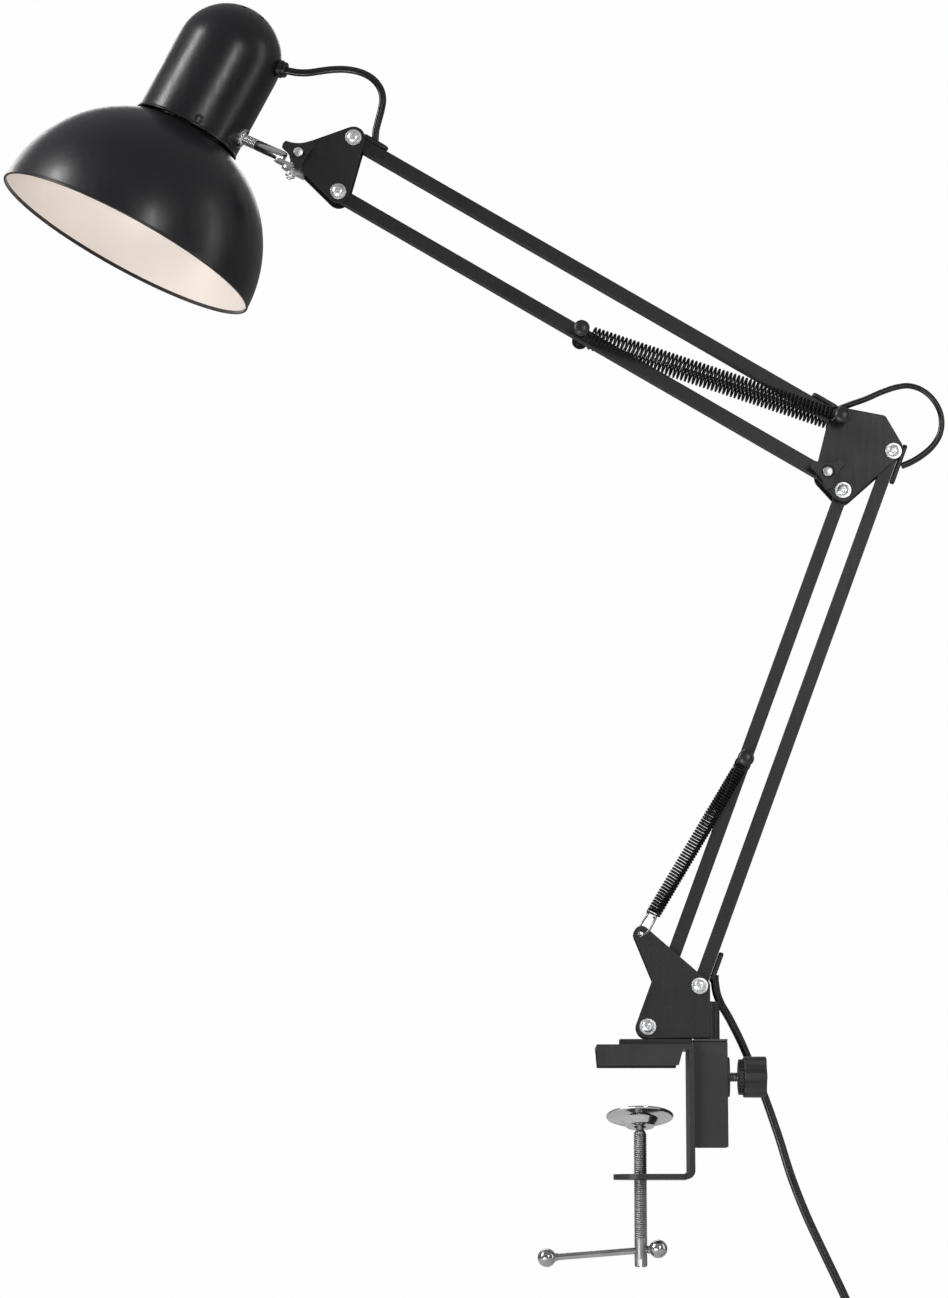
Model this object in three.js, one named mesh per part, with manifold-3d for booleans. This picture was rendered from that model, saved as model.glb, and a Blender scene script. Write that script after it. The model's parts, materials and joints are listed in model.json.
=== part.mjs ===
// Architect desk lamp with two sprung parallelogram arms, a desk clamp and a hemispherical shade.
// Millimetres, +Z up, the arms lie in the XZ plane. The origin is on the clamp screw's axis, at the
// level where the upper jaw rests on the desk.
import * as THREE from "three";
import { mergeVertices } from "three/addons/utils/BufferGeometryUtils.js";
import Module from "manifold-3d";

const wasm = await Module();
wasm.setup();

// ---- driving dimensions ----
const GAP = 0.3; // left between pieces that touch
const DRILLED = 0.5; // radial clearance of a drilled hole round its bolt
const ROUND = 10; // sides of a small round piece
const FULL_TURN = Math.PI * 2;

const LINK = 347; // pivot to pivot, every arm tube
const LOWER_ANGLE = THREE.MathUtils.degToRad(69.6); // of the lower arm above +X
const UPPER_ANGLE = THREE.MathUtils.degToRad(149.3); // of the upper arm above +X
const TUBE = 8; // square arm tube
const TUBE_WALL = 1;
const TUBE_END = 5.5; // of tube past each pivot

const PLATE_IN = 6.2; // inner face of every bracket plate from the mid plane
const PLATE_OUT = 7.7;
const BOLT_R = 2.5;
const BOLT_HEAD_R = 5;
const TENSION_R = 3; // of the bolts that carry the wing nuts

const BASE_CORD_PIVOT = [35.8, 47.5]; // x, z
const BASE_SPRING_PIVOT = [4.7, 23.2];
const HORN = [1.3, 78.8]; // spring hole of the base plates
const ELBOW_STUD_FROM_CORD_PIVOT = [-31.5, 20.3];
const UPPER_PIVOTS_APART = [-9.2, -34.3]; // from the cord tube's pivot to the spring tube's
const KNUCKLE_FROM_CORD_PIVOT = [-33.6, -11.1];

const LOWER_STUD_AT = 171; // along the lower spring tube
const UPPER_STUD_AT = 173.5; // along the upper spring tube
const SPRING_R = 4.5;
const LOWER_SPRING_Y = 9.5;
const UPPER_SPRING_Y = 12.6;

const JAW = { left: -26, inner: 28.4, outer: 31.6, half: 20, lip: 2.4, top: 12.2, low: -63.6, steel: 3.2 };
const RIB = { left: -12, half: 8, top: 16 };
const TONGUE_R = 16;
const SOCKET = { x: 41.9, side: 20, wall: 2, top: 14.3, bottom: -47.8 };
const POST_R = 6;
const POST_TOP = 38.5;
const LOCK = { z: -6.2, r: 2.8, knobLeft: 58.6, knobRight: 75.2, knobR: 13 };

const SCREW_R = 3.9;
const SCREW_BOTTOM = -118;
const SCREW_TOP = -35.3;
const BAR = { z: -108.1, r: 2, ball: 5.5, left: -55.8, right: 10.3, tilt: THREE.MathUtils.degToRad(4.5) };
const PAD = { z: -35, r: 20, tilt: THREE.MathUtils.degToRad(15) }; // z of the ball end it tips on

const HEAD_TILT = THREE.MathUtils.degToRad(27.3); // of the shade's axis from the vertical
const HEAD_SWING = THREE.MathUtils.degToRad(10); // of the link rod out of the arm's plane
const KNUCKLE_ABOVE_ROD = 3.2;
const HEAD_REACH = 73.5; // from the swing axis to the shade's axis
const ROD_R = 3.5;
const CAP = { base: -12, r: 34, straight: 55, wall: 1 };
const SHADE = { rim: -91.5, r: 85, wall: 1, hole: 21 };
const GLAND_TILT = THREE.MathUtils.degToRad(12); // above the cap's equator, square to its dome
const VENT = { count: 8, r: 1.6, polar: THREE.MathUtils.degToRad(29) };

const CORD_R = 2.3;
const CORD_SIDES = 8;

// ---- materials ----
const finish = (color, roughness, metalness) =>
  new THREE.MeshStandardMaterial({ color, roughness, metalness });
const BLACK_PAINT = () => finish(0x17181a, 0.45, 0.2);
const GREY_PAINT = () => finish(0x3a3c3e, 0.5, 0.3);
const ZINC = () => finish(0xc9cacc, 0.3, 1);
const CHROME = () => finish(0xd8dadd, 0.12, 1);
const SPRING_STEEL = () => finish(0x1b1c1e, 0.4, 0.7);
const BLACK_PLASTIC = () => finish(0x202124, 0.6, 0);
const WHITE_ENAMEL = () => finish(0xf3ece4, 0.5, 0);
const CERAMIC = () => finish(0xe9e6df, 0.35, 0);
const BRASS = () => finish(0xc39a4c, 0.3, 1);
const NYLON = () => finish(0x2a2b2c, 0.55, 0);

// ---- solids ----
/** A manifold solid of a closed three.js geometry. */
function solid(geometry) {
  const bare = geometry.clone();
  bare.deleteAttribute("normal");
  bare.deleteAttribute("uv");
  const merged = mergeVertices(bare, 1e-4);
  const vertProperties = new Float32Array(merged.attributes.position.array);
  const triVerts = new Uint32Array(merged.index.array);
  return new wasm.Manifold(new wasm.Mesh({ numProp: 3, vertProperties, triVerts }));
}

/** The three.js geometry of a manifold solid. */
function geometryOf(manifold) {
  const mesh = manifold.getMesh();
  const geometry = new THREE.BufferGeometry();
  geometry.setAttribute("position", new THREE.BufferAttribute(new Float32Array(mesh.vertProperties), 3));
  geometry.setIndex(new THREE.BufferAttribute(new Uint32Array(mesh.triVerts), 1));
  return geometry;
}

const join = (...pieces) => geometryOf(pieces.map(solid).reduce((a, b) => a.add(b)));
const cut = (body, ...tools) => geometryOf(tools.map(solid).reduce((a, b) => a.subtract(b), solid(body)));

/** A solid turned about +Y from [radius, y] points that start and end on the axis. */
function turnedY(profile, x = 0, z = 0, sides = ROUND) {
  const points = profile.map(([r, y]) => new THREE.Vector2(r, y));
  return new THREE.LatheGeometry(points, sides).translate(x, 0, z);
}

/** The same about +Z, from [radius, z] points. */
const turnedZ = (profile, sides = ROUND) => turnedY(profile, 0, 0, sides).rotateX(Math.PI / 2);

/** A plain round pin along +Y. */
const pinY = (r, from, to, x = 0, z = 0, sides = ROUND) =>
  turnedY([[0, from], [r, from], [r, to], [0, to]], x, z, sides);

/** A plain round pin along +X. */
const pinX = (r, from, to, sides = ROUND) => pinY(r, -to, -from, 0, 0, sides).rotateZ(Math.PI / 2);

/** A box between two corners. */
function block(low, high) {
  const size = high.map((value, i) => value - low[i]);
  const middle = high.map((value, i) => (value + low[i]) / 2);
  return new THREE.BoxGeometry(...size).translate(...middle);
}

/** A plate of an XZ outline between two values of y. */
function plateXZ(shape, from, to, curveSegments = 4) {
  const depth = to - from;
  const plate = new THREE.ExtrudeGeometry(shape, { depth, bevelEnabled: false, curveSegments });
  return plate.rotateX(Math.PI / 2).translate(0, to, 0);
}

/** A plate of an XY outline between two values of z. */
function plateXY(shape, from, to, curveSegments = 4) {
  const depth = to - from;
  return new THREE.ExtrudeGeometry(shape, { depth, bevelEnabled: false, curveSegments }).translate(0, 0, from);
}

/** A plate of a YZ outline between two values of x. */
function plateYZ(shape, from, to) {
  const plate = new THREE.ExtrudeGeometry(shape, { depth: to - from, bevelEnabled: false });
  return plate.rotateX(Math.PI / 2).rotateZ(Math.PI / 2).translate(from, 0, 0);
}

/** The direction from a disc's centre to where a belt that leaves it for the next one touches it. */
function beltAngle(from, to) {
  const [dx, dz] = [to[0] - from[0], to[1] - from[1]];
  return Math.atan2(dz, dx) - Math.acos((from[2] - to[2]) / Math.hypot(dx, dz));
}

/** The outline of a belt round [x, z, r] discs, which are listed anticlockwise. */
function beltRound(discs) {
  const shape = new THREE.Shape();
  discs.forEach((disc, i) => {
    const before = discs.at(i - 1);
    const after = discs[(i + 1) % discs.length];
    shape.absarc(disc[0], disc[1], disc[2], beltAngle(before, disc), beltAngle(disc, after), false);
  });
  return shape;
}

/** A stadium outline along X, of a length and a width. */
function stadium(length, width) {
  const r = width / 2;
  return beltRound([[r, 0, r], [length - r, 0, r]]);
}

/** Adds a round hole to an outline. */
function drill(shape, [x, z], r) {
  shape.holes.push(new THREE.Path().absarc(x, z, r, 0, FULL_TURN, true));
  return shape;
}

const shift = ([x, z], [dx, dz]) => [x + dx, z + dz];
const along = ([x, z], angle, length) => [x + Math.cos(angle) * length, z + Math.sin(angle) * length];
const disc = ([x, z], r) => [x, z, r];

function part(name, geometry, material) {
  const mesh = new THREE.Mesh(geometry, material);
  mesh.name = name;
  return mesh;
}

// ---- pivots, worked out from the driving dimensions ----
const ELBOW_CORD_PIVOT = along(BASE_CORD_PIVOT, LOWER_ANGLE, LINK);
const ELBOW_SPRING_PIVOT = along(BASE_SPRING_PIVOT, LOWER_ANGLE, LINK);
const ELBOW_STUD = shift(ELBOW_CORD_PIVOT, ELBOW_STUD_FROM_CORD_PIVOT);
const ELBOW_TENSION = shift(ELBOW_STUD, UPPER_PIVOTS_APART);
const HEAD_CORD_PIVOT = along(ELBOW_STUD, UPPER_ANGLE, LINK);
const HEAD_SPRING_PIVOT = along(ELBOW_TENSION, UPPER_ANGLE, LINK);
const KNUCKLE = shift(HEAD_CORD_PIVOT, KNUCKLE_FROM_CORD_PIVOT);

// ---- clamp ----
/** The pressed C bracket: lipped upper jaw with a raised rib, back plate and rounded lower jaw. */
function clampBracket() {
  const { left, inner, outer, half, lip, top, low, steel } = JAW;
  const bend = 5;
  const profile = new THREE.Shape();
  profile.moveTo(left, top - lip);
  profile.lineTo(inner, top - lip);
  profile.lineTo(inner, low + bend - steel);
  profile.lineTo(outer - bend, low);
  profile.lineTo(outer - bend, low - steel);
  profile.absarc(outer - bend, low - steel + bend, bend, -Math.PI / 2, 0, false);
  profile.lineTo(outer, top);
  profile.lineTo(left, top);
  const lips = new THREE.Shape();
  lips.moveTo(left + 1, 0);
  lips.lineTo(JAW.inner - 6, 0);
  lips.lineTo(JAW.inner - 3, top - lip / 2);
  lips.lineTo(left, top - lip / 2);
  const tongue = plateXY(beltRound([[0, 0, TONGUE_R], [outer - bend, 0, TONGUE_R]]), low - steel, low, 8);
  const tongueEnd = block([outer - bend + 0.4, -half, low - 2 * steel], [outer + TONGUE_R, half, low + bend]);
  const rib = block([RIB.left, -RIB.half, top - lip / 2], [outer - 0.5, RIB.half, RIB.top]);
  const ribHollow = block([RIB.left + 2, -RIB.half + 2, top - 2 * lip], [inner - 3, RIB.half - 2, RIB.top - 2]);
  const body = join(
    plateXZ(profile, -half, half),
    plateXZ(lips, -half, lip - half),
    plateXZ(lips, half - lip, half),
    cut(tongue, tongueEnd),
    rib,
  );
  const holeR = SCREW_R + DRILLED;
  const screwHole = turnedZ([[0, low - 9], [holeR, low - 9], [holeR, low + 9], [0, low + 9]]);
  return part("clamp_bracket", cut(body, ribHollow, screwHole), GREY_PAINT());
}

/** The square socket welded to the back plate, with the pressed boss for the lock screw's thread. */
function clampSocket() {
  const { x, side, wall, top, bottom } = SOCKET;
  const half = side / 2;
  const tube = block([x - half, -half, bottom], [x + half, half, top]);
  const boss = pinX(7, x + half - 1, x + half + 1.6, 16).scale(1, 1, 1.7).translate(0, 0, LOCK.z);
  const bore = block([x - half + wall, wall - half, bottom - 1], [x + half - wall, half - wall, top + 1]);
  const thread = pinX(LOCK.r + GAP, x + 1, x + side).translate(0, 0, LOCK.z);
  return part("clamp_socket", cut(join(tube, boss), bore, thread), GREY_PAINT());
}

/** The plastic bush in which the post turns, with a flange over the socket's mouth. */
function socketBush() {
  const { x, side, wall, top, bottom } = SOCKET;
  const half = side / 2 - wall - GAP;
  const sleeve = block([x - half, -half, bottom + 2], [x + half, half, top + 1]);
  const flange = block([x - side / 2, -side / 2, top + GAP], [x + side / 2, side / 2, top + 1.6]);
  const r = POST_R + GAP;
  const bore = turnedZ([[0, bottom], [r, bottom], [r, top + 4], [0, top + 4]], 16).translate(x, 0, 0);
  const thread = pinX(LOCK.r + GAP, x + 1, x + side).translate(0, 0, LOCK.z);
  return part("socket_bush", cut(join(sleeve, flange), bore, thread), NYLON());
}

function lockScrew() {
  const from = SOCKET.x + POST_R + GAP;
  return part("lock_screw", pinX(LOCK.r, from, LOCK.knobRight - 3).translate(0, 0, LOCK.z), ZINC());
}

/** The lobed plastic knob with a serrated flange, moulded round the lock screw. */
function lockKnob() {
  const { knobLeft, knobRight, knobR, r, z } = LOCK;
  const lobes = 6;
  const outline = new THREE.Shape();
  for (let i = 0; i < lobes * 4; i += 1) {
    const angle = (i / (lobes * 4)) * FULL_TURN;
    const reach = knobR - 0.9 + 0.9 * Math.cos(angle * lobes);
    outline[i ? "lineTo" : "moveTo"](reach * Math.cos(angle), reach * Math.sin(angle));
  }
  const grip = plateXY(outline, knobLeft + 3, knobRight).rotateY(Math.PI / 2);
  const flange = pinX(knobR - 2.5, knobLeft, knobLeft + 3.5, 20);
  const bore = pinX(r + GAP, knobLeft - 1, knobRight - 2);
  return part("lock_knob", cut(join(grip, flange), bore).translate(0, 0, z), BLACK_PLASTIC());
}

/** The threaded clamp screw: ball end, thread, slotted tip and a cross hole for its bar. */
function clampScrew() {
  const profile = [
    [0, SCREW_BOTTOM],
    [3.2, SCREW_BOTTOM],
    [SCREW_R, SCREW_BOTTOM + 1],
    [SCREW_R, SCREW_TOP - 3],
    [2.2, SCREW_TOP - 2],
    [2.2, SCREW_TOP],
    [2.8, SCREW_TOP + 0.8],
    [0, SCREW_TOP + 2],
  ];
  const slot = block([-0.7, -5, SCREW_BOTTOM - 1], [0.7, 5, SCREW_BOTTOM + 2.5]);
  const hole = pinX(BAR.r + 0.7, -9, 9).translate(0, 0, BAR.z);
  return part("clamp_screw", cut(turnedZ(profile), slot, hole), ZINC());
}

/** The sliding bar with a ball at each end. */
function tommyBar() {
  const { z, r, ball, left, right, tilt } = BAR;
  const rod = pinX(r, left + 2, right - 2, 8);
  const balls = [left, right].map((x) => new THREE.SphereGeometry(ball, 12, 8).translate(x, 0, 0));
  return part("tommy_bar", join(rod, ...balls).rotateY(-tilt).translate(0, 0, z), CHROME());
}

/** The stamped cup that presses on the underside of the desk, tipped on the screw's ball end. */
function pressurePad() {
  const profile = [
    [3.6, -0.7],
    [8.5, -0.7],
    [11.5, 3.9],
    [19.4, 4.9],
    [PAD.r, 6.1],
    [19.2, 6.5],
    [11, 5.4],
    [7.6, 0.6],
    [3.6, 0.6],
    [3.6, -0.7],
  ];
  return part("pressure_pad", turnedZ(profile, 24).rotateX(-PAD.tilt).translate(0, 0, PAD.z), CHROME());
}

/** The washer that carries the cup on the screw's ball end. */
function padWasher() {
  const z = SCREW_TOP + 2 + GAP;
  const profile = [[0, z], [3.8, z], [3.8, z + 1.2], [0, z + 1.2]];
  return part("pad_washer", turnedZ(profile), ZINC());
}

function clamp() {
  const group = new THREE.Group();
  group.add(clampBracket(), clampSocket(), socketBush(), lockScrew(), lockKnob());
  group.add(padWasher(), pressurePad(), clampScrew(), tommyBar());
  return group;
}

// ---- bolts, studs and nuts ----
/** A pan-headed pivot bolt with its nut: it passes through both plates and the tube. */
function pivotBolt(name, [x, z]) {
  const face = PLATE_OUT + GAP;
  const profile = [
    [0, -face - 2.9],
    [3, -face - 2.5],
    [3.4, -face - 1],
    [BOLT_HEAD_R, -face - 0.9],
    [BOLT_HEAD_R, -face],
    [BOLT_R, -face],
    [BOLT_R, face],
    [4.6, face],
    [4.6, face + 3.4],
    [BOLT_R, face + 3.4],
    [BOLT_R, face + 4.6],
    [0, face + 4.6],
  ];
  return part(name, turnedY(profile, x, z, 8), ZINC());
}

/** A domed black stud that holds a spring on each side. */
function springStud(name, [x, z], springY) {
  const end = springY + SPRING_R + GAP;
  const profile = [
    [0, -end - 2.6],
    [3.6, -end - 1.6],
    [BOLT_HEAD_R, -end],
    [BOLT_R, -end],
    [BOLT_R, end],
    [BOLT_HEAD_R, end],
    [3.6, end + 1.6],
    [0, end + 2.6],
  ];
  return part(name, turnedY(profile, x, z), BLACK_PLASTIC());
}

/** The bolt that a wing nut tightens: hexagon head at the back, thread at the front. */
function tensionBolt(name, [x, z]) {
  const face = PLATE_OUT + GAP;
  const shank = pinY(TENSION_R, -face - 7.8, face + 1, x, z);
  const head = pinY(5.4, face, face + 3.8, x, z, 6);
  return part(name, join(shank, head), ZINC());
}

/** A three-cornered wing nut with hollow sides, its wings clear of the pivot bolts' heads. */
function wingNut(name, [x, z], turn) {
  const outline = new THREE.Shape();
  const [reach, waist, tip] = [10.6, 5.4, 0.22];
  for (let i = 0; i < 3; i += 1) {
    const angle = (i / 3) * FULL_TURN;
    const side = angle + FULL_TURN / 6;
    const at = (a, r) => [r * Math.cos(a), r * Math.sin(a)];
    outline[i ? "lineTo" : "moveTo"](...at(angle - tip, reach));
    outline.lineTo(...at(angle + tip, reach));
    outline.quadraticCurveTo(...at(side, waist - 1.4), ...at(angle + FULL_TURN / 3 - tip, reach));
  }
  const face = -PLATE_OUT - GAP;
  const wings = plateXZ(outline, face - 6.8, face - 3.2, 4).rotateY(-turn);
  const hub = pinY(5.2, face - 4, face, 0, 0, 12);
  const bore = pinY(TENSION_R + GAP, face - 9, face + 1);
  return part(name, cut(join(wings, hub), bore).translate(x, 0, z), BLACK_PLASTIC());
}

// ---- arm tubes, each in a frame with +X along the arm and -Z on its outer side ----
/** A group that carries the pieces of one arm from its lower pivot. */
function armFrame([x, z], angle) {
  const group = new THREE.Group();
  group.position.set(x, 0, z);
  group.rotation.y = -angle;
  return group;
}

/** A square tube drilled for a bolt at each pivot and for any stud between them. */
function armTube(name, pivotRadii, studAt) {
  const half = TUBE / 2;
  const inner = half - TUBE_WALL;
  const outer = block([-TUBE_END, -half, -half], [LINK + TUBE_END, half, half]);
  const hollow = block([-TUBE_END - 1, -inner, -inner], [LINK + TUBE_END + 1, inner, inner]);
  const holes = pivotRadii.map((r, i) => pinY(r + DRILLED, -TUBE, TUBE, i * LINK));
  if (studAt) holes.push(pinY(BOLT_R + DRILLED, -TUBE, TUBE, studAt));
  return part(name, cut(outer, hollow, ...holes), BLACK_PAINT());
}

/** An oblong strain-relief cover on the outer side of a tube, where the cord goes in. */
function cordGrommet(name, start, length) {
  const plate = plateXY(stadium(length, 6.6), -TUBE / 2 - GAP - 3, -TUBE / 2 - GAP, 4);
  return part(name, plate.translate(start, 0, 0), BLACK_PLASTIC());
}

function lowerArms() {
  const cordArm = armFrame(BASE_CORD_PIVOT, LOWER_ANGLE);
  cordArm.add(armTube("lower_cord_tube", [BOLT_R, BOLT_R]));
  cordArm.add(cordGrommet("lower_grommet_base", 5, 19), cordGrommet("lower_grommet_elbow", LINK - 18, 26));
  const springArm = armFrame(BASE_SPRING_PIVOT, LOWER_ANGLE);
  springArm.add(armTube("lower_spring_tube", [BOLT_R, BOLT_R], LOWER_STUD_AT));
  springArm.add(springStud("lower_spring_stud", [LOWER_STUD_AT, 0], LOWER_SPRING_Y));
  return [cordArm, springArm];
}

function upperArms() {
  const cordArm = armFrame(ELBOW_STUD, UPPER_ANGLE);
  cordArm.add(armTube("upper_cord_tube", [BOLT_R, BOLT_R]));
  cordArm.add(cordGrommet("upper_grommet_elbow", 5, 18), cordGrommet("upper_grommet_head", LINK - 21, 18));
  const springArm = armFrame(ELBOW_TENSION, UPPER_ANGLE);
  springArm.add(armTube("upper_spring_tube", [TENSION_R, BOLT_R], UPPER_STUD_AT));
  springArm.add(springStud("upper_spring_stud", [UPPER_STUD_AT, 0], UPPER_SPRING_Y));
  return [cordArm, springArm];
}

// ---- springs: the outer shape of each coil between its hooks ----
function springBody(name, from, to, clearFrom, clearTo) {
  const [a, b] = [new THREE.Vector3(...from), new THREE.Vector3(...to)];
  const direction = b.clone().sub(a).normalize();
  a.addScaledVector(direction, clearFrom);
  b.addScaledVector(direction, -clearTo);
  const length = a.distanceTo(b);
  const body = new THREE.CylinderGeometry(SPRING_R, SPRING_R, length, 8);
  const mesh = part(name, body, SPRING_STEEL());
  mesh.position.copy(a).lerp(b, 0.5);
  mesh.quaternion.setFromUnitVectors(new THREE.Vector3(0, 1, 0), direction);
  return mesh;
}

function springs() {
  const lowerStud = along(BASE_SPRING_PIVOT, LOWER_ANGLE, LOWER_STUD_AT);
  const upperStud = along(ELBOW_TENSION, UPPER_ANGLE, UPPER_STUD_AT);
  const sides = { front: -1, back: 1 };
  return Object.entries(sides).flatMap(([side, sign]) => {
    const at = ([x, z], y) => [x, sign * y, z];
    return [
      springBody(`lower_spring_${side}`, at(lowerStud, LOWER_SPRING_Y), at(HORN, PLATE_IN + 0.8), 7, 21),
      springBody(`upper_spring_${side}`, at(upperStud, UPPER_SPRING_Y), at(ELBOW_STUD, UPPER_SPRING_Y), 7, 6),
    ];
  });
}

// ---- brackets ----
/** The same plate twice, in front of the tubes and behind them. */
function platePair(name, makeGeometry) {
  const front = part(`${name}_front`, makeGeometry(-PLATE_OUT, -PLATE_IN), BLACK_PAINT());
  const back = part(`${name}_back`, makeGeometry(PLATE_IN, PLATE_OUT), BLACK_PAINT());
  return [front, back];
}

/** The turning base: horned plates on both sides of a post. */
function base() {
  const group = new THREE.Group();
  const hole = BOLT_R + DRILLED;
  const waist = [12, 51];
  const shoulder = [38, 47.6];
  const footRight = [39.9, 18.9];
  const plates = platePair("base_plate", (from, to) => {
    const horn = beltRound([disc(HORN, 4.6), disc(waist, 4), disc(shoulder, 4)]);
    const foot = beltRound([disc(BASE_SPRING_PIVOT, 6.8), disc(footRight, 2), disc(shoulder, 4), disc(waist, 4)]);
    const blank = join(plateXZ(horn, from, to), plateXZ(foot, from, to));
    const pins = [BASE_CORD_PIVOT, BASE_SPRING_PIVOT].map(([x, z]) => pinY(hole, from - 1, to + 1, x, z));
    const eye = pinY(2.3, from - 1, to + 1, HORN[0], HORN[1]);
    return cut(blank, ...pins, eye);
  });
  const bottom = SOCKET.bottom + 4;
  const post = turnedZ([[0, bottom], [POST_R, bottom], [POST_R, POST_TOP], [0, POST_TOP]], 16);
  group.add(...plates, part("post", post.translate(SOCKET.x, 0, 0), BLACK_PAINT()));
  group.add(pivotBolt("base_bolt_cord", BASE_CORD_PIVOT), pivotBolt("base_bolt_spring", BASE_SPRING_PIVOT));
  return group;
}

/** The elbow: two plates that join both arms. */
function elbow() {
  const group = new THREE.Group();
  const [top, right] = [shift(ELBOW_CORD_PIVOT, [-6.5, 19.5]), shift(ELBOW_CORD_PIVOT, [-0.8, 2])];
  const outline = [
    disc(ELBOW_STUD, 7),
    disc(ELBOW_TENSION, 6.6),
    disc(ELBOW_SPRING_PIVOT, 7),
    disc(right, 6.6),
    disc(top, 3),
  ];
  const plates = platePair("elbow_plate", (from, to) => {
    const shape = beltRound(outline);
    const bolts = [ELBOW_STUD, ELBOW_SPRING_PIVOT, ELBOW_CORD_PIVOT];
    bolts.forEach((pivot) => drill(shape, pivot, BOLT_R + DRILLED));
    drill(shape, ELBOW_TENSION, TENSION_R + DRILLED);
    return plateXZ(shape, from, to);
  });
  group.add(...plates);
  group.add(pivotBolt("elbow_bolt_cord", ELBOW_CORD_PIVOT));
  group.add(pivotBolt("elbow_bolt_spring", ELBOW_SPRING_PIVOT));
  group.add(springStud("elbow_stud", ELBOW_STUD, UPPER_SPRING_Y));
  group.add(tensionBolt("elbow_tension_bolt", ELBOW_TENSION));
  group.add(wingNut("elbow_wing_nut", ELBOW_TENSION, THREE.MathUtils.degToRad(33)));
  return group;
}

/** The head bracket: two three-cornered plates at the end of the upper arm. */
function headBracket() {
  const group = new THREE.Group();
  const outline = [disc(HEAD_CORD_PIVOT, 7.2), disc(KNUCKLE, 6), disc(HEAD_SPRING_PIVOT, 7)];
  const plates = platePair("head_plate", (from, to) => {
    const shape = beltRound(outline);
    drill(shape, HEAD_CORD_PIVOT, BOLT_R + DRILLED);
    drill(shape, HEAD_SPRING_PIVOT, BOLT_R + DRILLED);
    drill(shape, KNUCKLE, TENSION_R + DRILLED);
    return plateXZ(shape, from, to);
  });
  group.add(...plates);
  group.add(pivotBolt("head_bolt_cord", HEAD_CORD_PIVOT), pivotBolt("head_bolt_spring", HEAD_SPRING_PIVOT));
  group.add(tensionBolt("head_tension_bolt", KNUCKLE));
  group.add(wingNut("head_wing_nut", KNUCKLE, THREE.MathUtils.degToRad(30)));
  return group;
}

// ---- head, in a frame with +Z along the shade's axis and +X towards the arm ----
/** A group at the crossing of the swing axis and the link rod's axis. */
function headFrame() {
  const group = new THREE.Group();
  const [x, z] = KNUCKLE;
  const [sin, cos] = [Math.sin(HEAD_TILT), Math.cos(HEAD_TILT)];
  group.position.set(x - KNUCKLE_ABOVE_ROD * sin, 0, z - KNUCKLE_ABOVE_ROD * cos);
  group.rotation.y = HEAD_TILT;
  return group;
}

/** The stamped yoke: two cheeks on the tension bolt and a floor that carries the swing screw. */
function yoke() {
  const [floorTop, floorBottom, cheek, steel] = [-5.2, -6.9, 4.9, 1.3];
  const outline = beltRound([[0, KNUCKLE_ABOVE_ROD, 5], [1.5, floorBottom + 0.4, 0.4], [7.6, floorBottom + 0.4, 0.4]]);
  drill(outline, [0, KNUCKLE_ABOVE_ROD], TENSION_R + DRILLED);
  const cheeks = [-cheek, cheek - steel].map((y) => plateXZ(outline, y, y + steel));
  const floor = plateXY(beltRound([[-2.5, 0, 4.9], [3.1, 0, 4.9]]), floorBottom, floorTop);
  const screwHole = turnedZ([[0, -9], [1.9, -9], [1.9, -3], [0, -3]]);
  const clearance = turnedZ([[0, floorTop], [5.6, floorTop], [5.6, 0.6], [0, 0.6]], 24);
  return part("yoke", cut(join(...cheeks, floor), screwHole, clearance), ZINC());
}

/** The screw and nut that the link rod swings on. */
function yokeScrew() {
  const profile = [
    [0, -11.5],
    [1.6, -11.5],
    [1.6, -10],
    [3.2, -10],
    [3.2, -7.2],
    [1.6, -7.2],
    [1.6, -1.9],
    [3, -1.9],
    [3, -0.3],
    [0, -0.1],
  ];
  return part("yoke_screw", turnedZ(profile), ZINC());
}

/** The rod from the yoke to the cap, flattened to an eye at the swing screw. */
function linkRod() {
  const reach = HEAD_REACH - CAP.r - 1.4;
  const rod = pinX(ROD_R, -reach, -8.5);
  const eyeOutline = drill(beltRound([[0, 0, 3.7], [-11, 0, 3]]), [0, 0], 1.9);
  const eye = plateXY(eyeOutline, -4.9, -2.2);
  return part("link_rod", join(rod, eye), CHROME());
}

/** The round dished seat that joins the rod to the cap's side. */
function saddle() {
  const face = CAP.r - HEAD_REACH;
  const dish = pinX(6.2, face - 2, face + 1.1, 16);
  const capSide = turnedZ([[0, -9], [CAP.r + GAP, -9], [CAP.r + GAP, 9], [0, 9]], 48).translate(-HEAD_REACH, 0, 0);
  return part("saddle", cut(dish, capSide), CHROME());
}

/** The domed cover over the lampholder, with a ring of vents round its crown. */
function cap() {
  const { base: z, r, straight, wall } = CAP;
  const steps = 5;
  const arc = (radius, i) => {
    const angle = (i / steps) * (Math.PI / 2);
    return [radius * Math.cos(angle), z + straight + radius * Math.sin(angle)];
  };
  const outside = Array.from({ length: steps + 1 }, (_, i) => arc(r, i));
  const inside = Array.from({ length: steps + 1 }, (_, i) => arc(r - wall, steps - i));
  outside[steps][0] = 0;
  inside[0][0] = 0;
  const profile = [[r - wall, z], [r + 0.5, z], [r + 0.5, z + 1.6], [r, z + 2], ...outside, ...inside];
  profile.push([r - wall, z]);
  const vents = Array.from({ length: VENT.count }, (_, i) => {
    const pin = turnedZ([[0, r - 8], [VENT.r, r - 8], [VENT.r, r + 4], [0, r + 4]], 6);
    return pin.rotateY(VENT.polar).rotateZ((i / VENT.count) * FULL_TURN).translate(0, 0, z + straight);
  });
  const glandHole = pinX(3, r - 6, r + 6).rotateY(-GLAND_TILT).translate(0, 0, z + straight);
  return part("cap", cut(turnedZ(profile, 28), ...vents, glandHole).translate(-HEAD_REACH, 0, 0), BLACK_PAINT());
}

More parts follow.
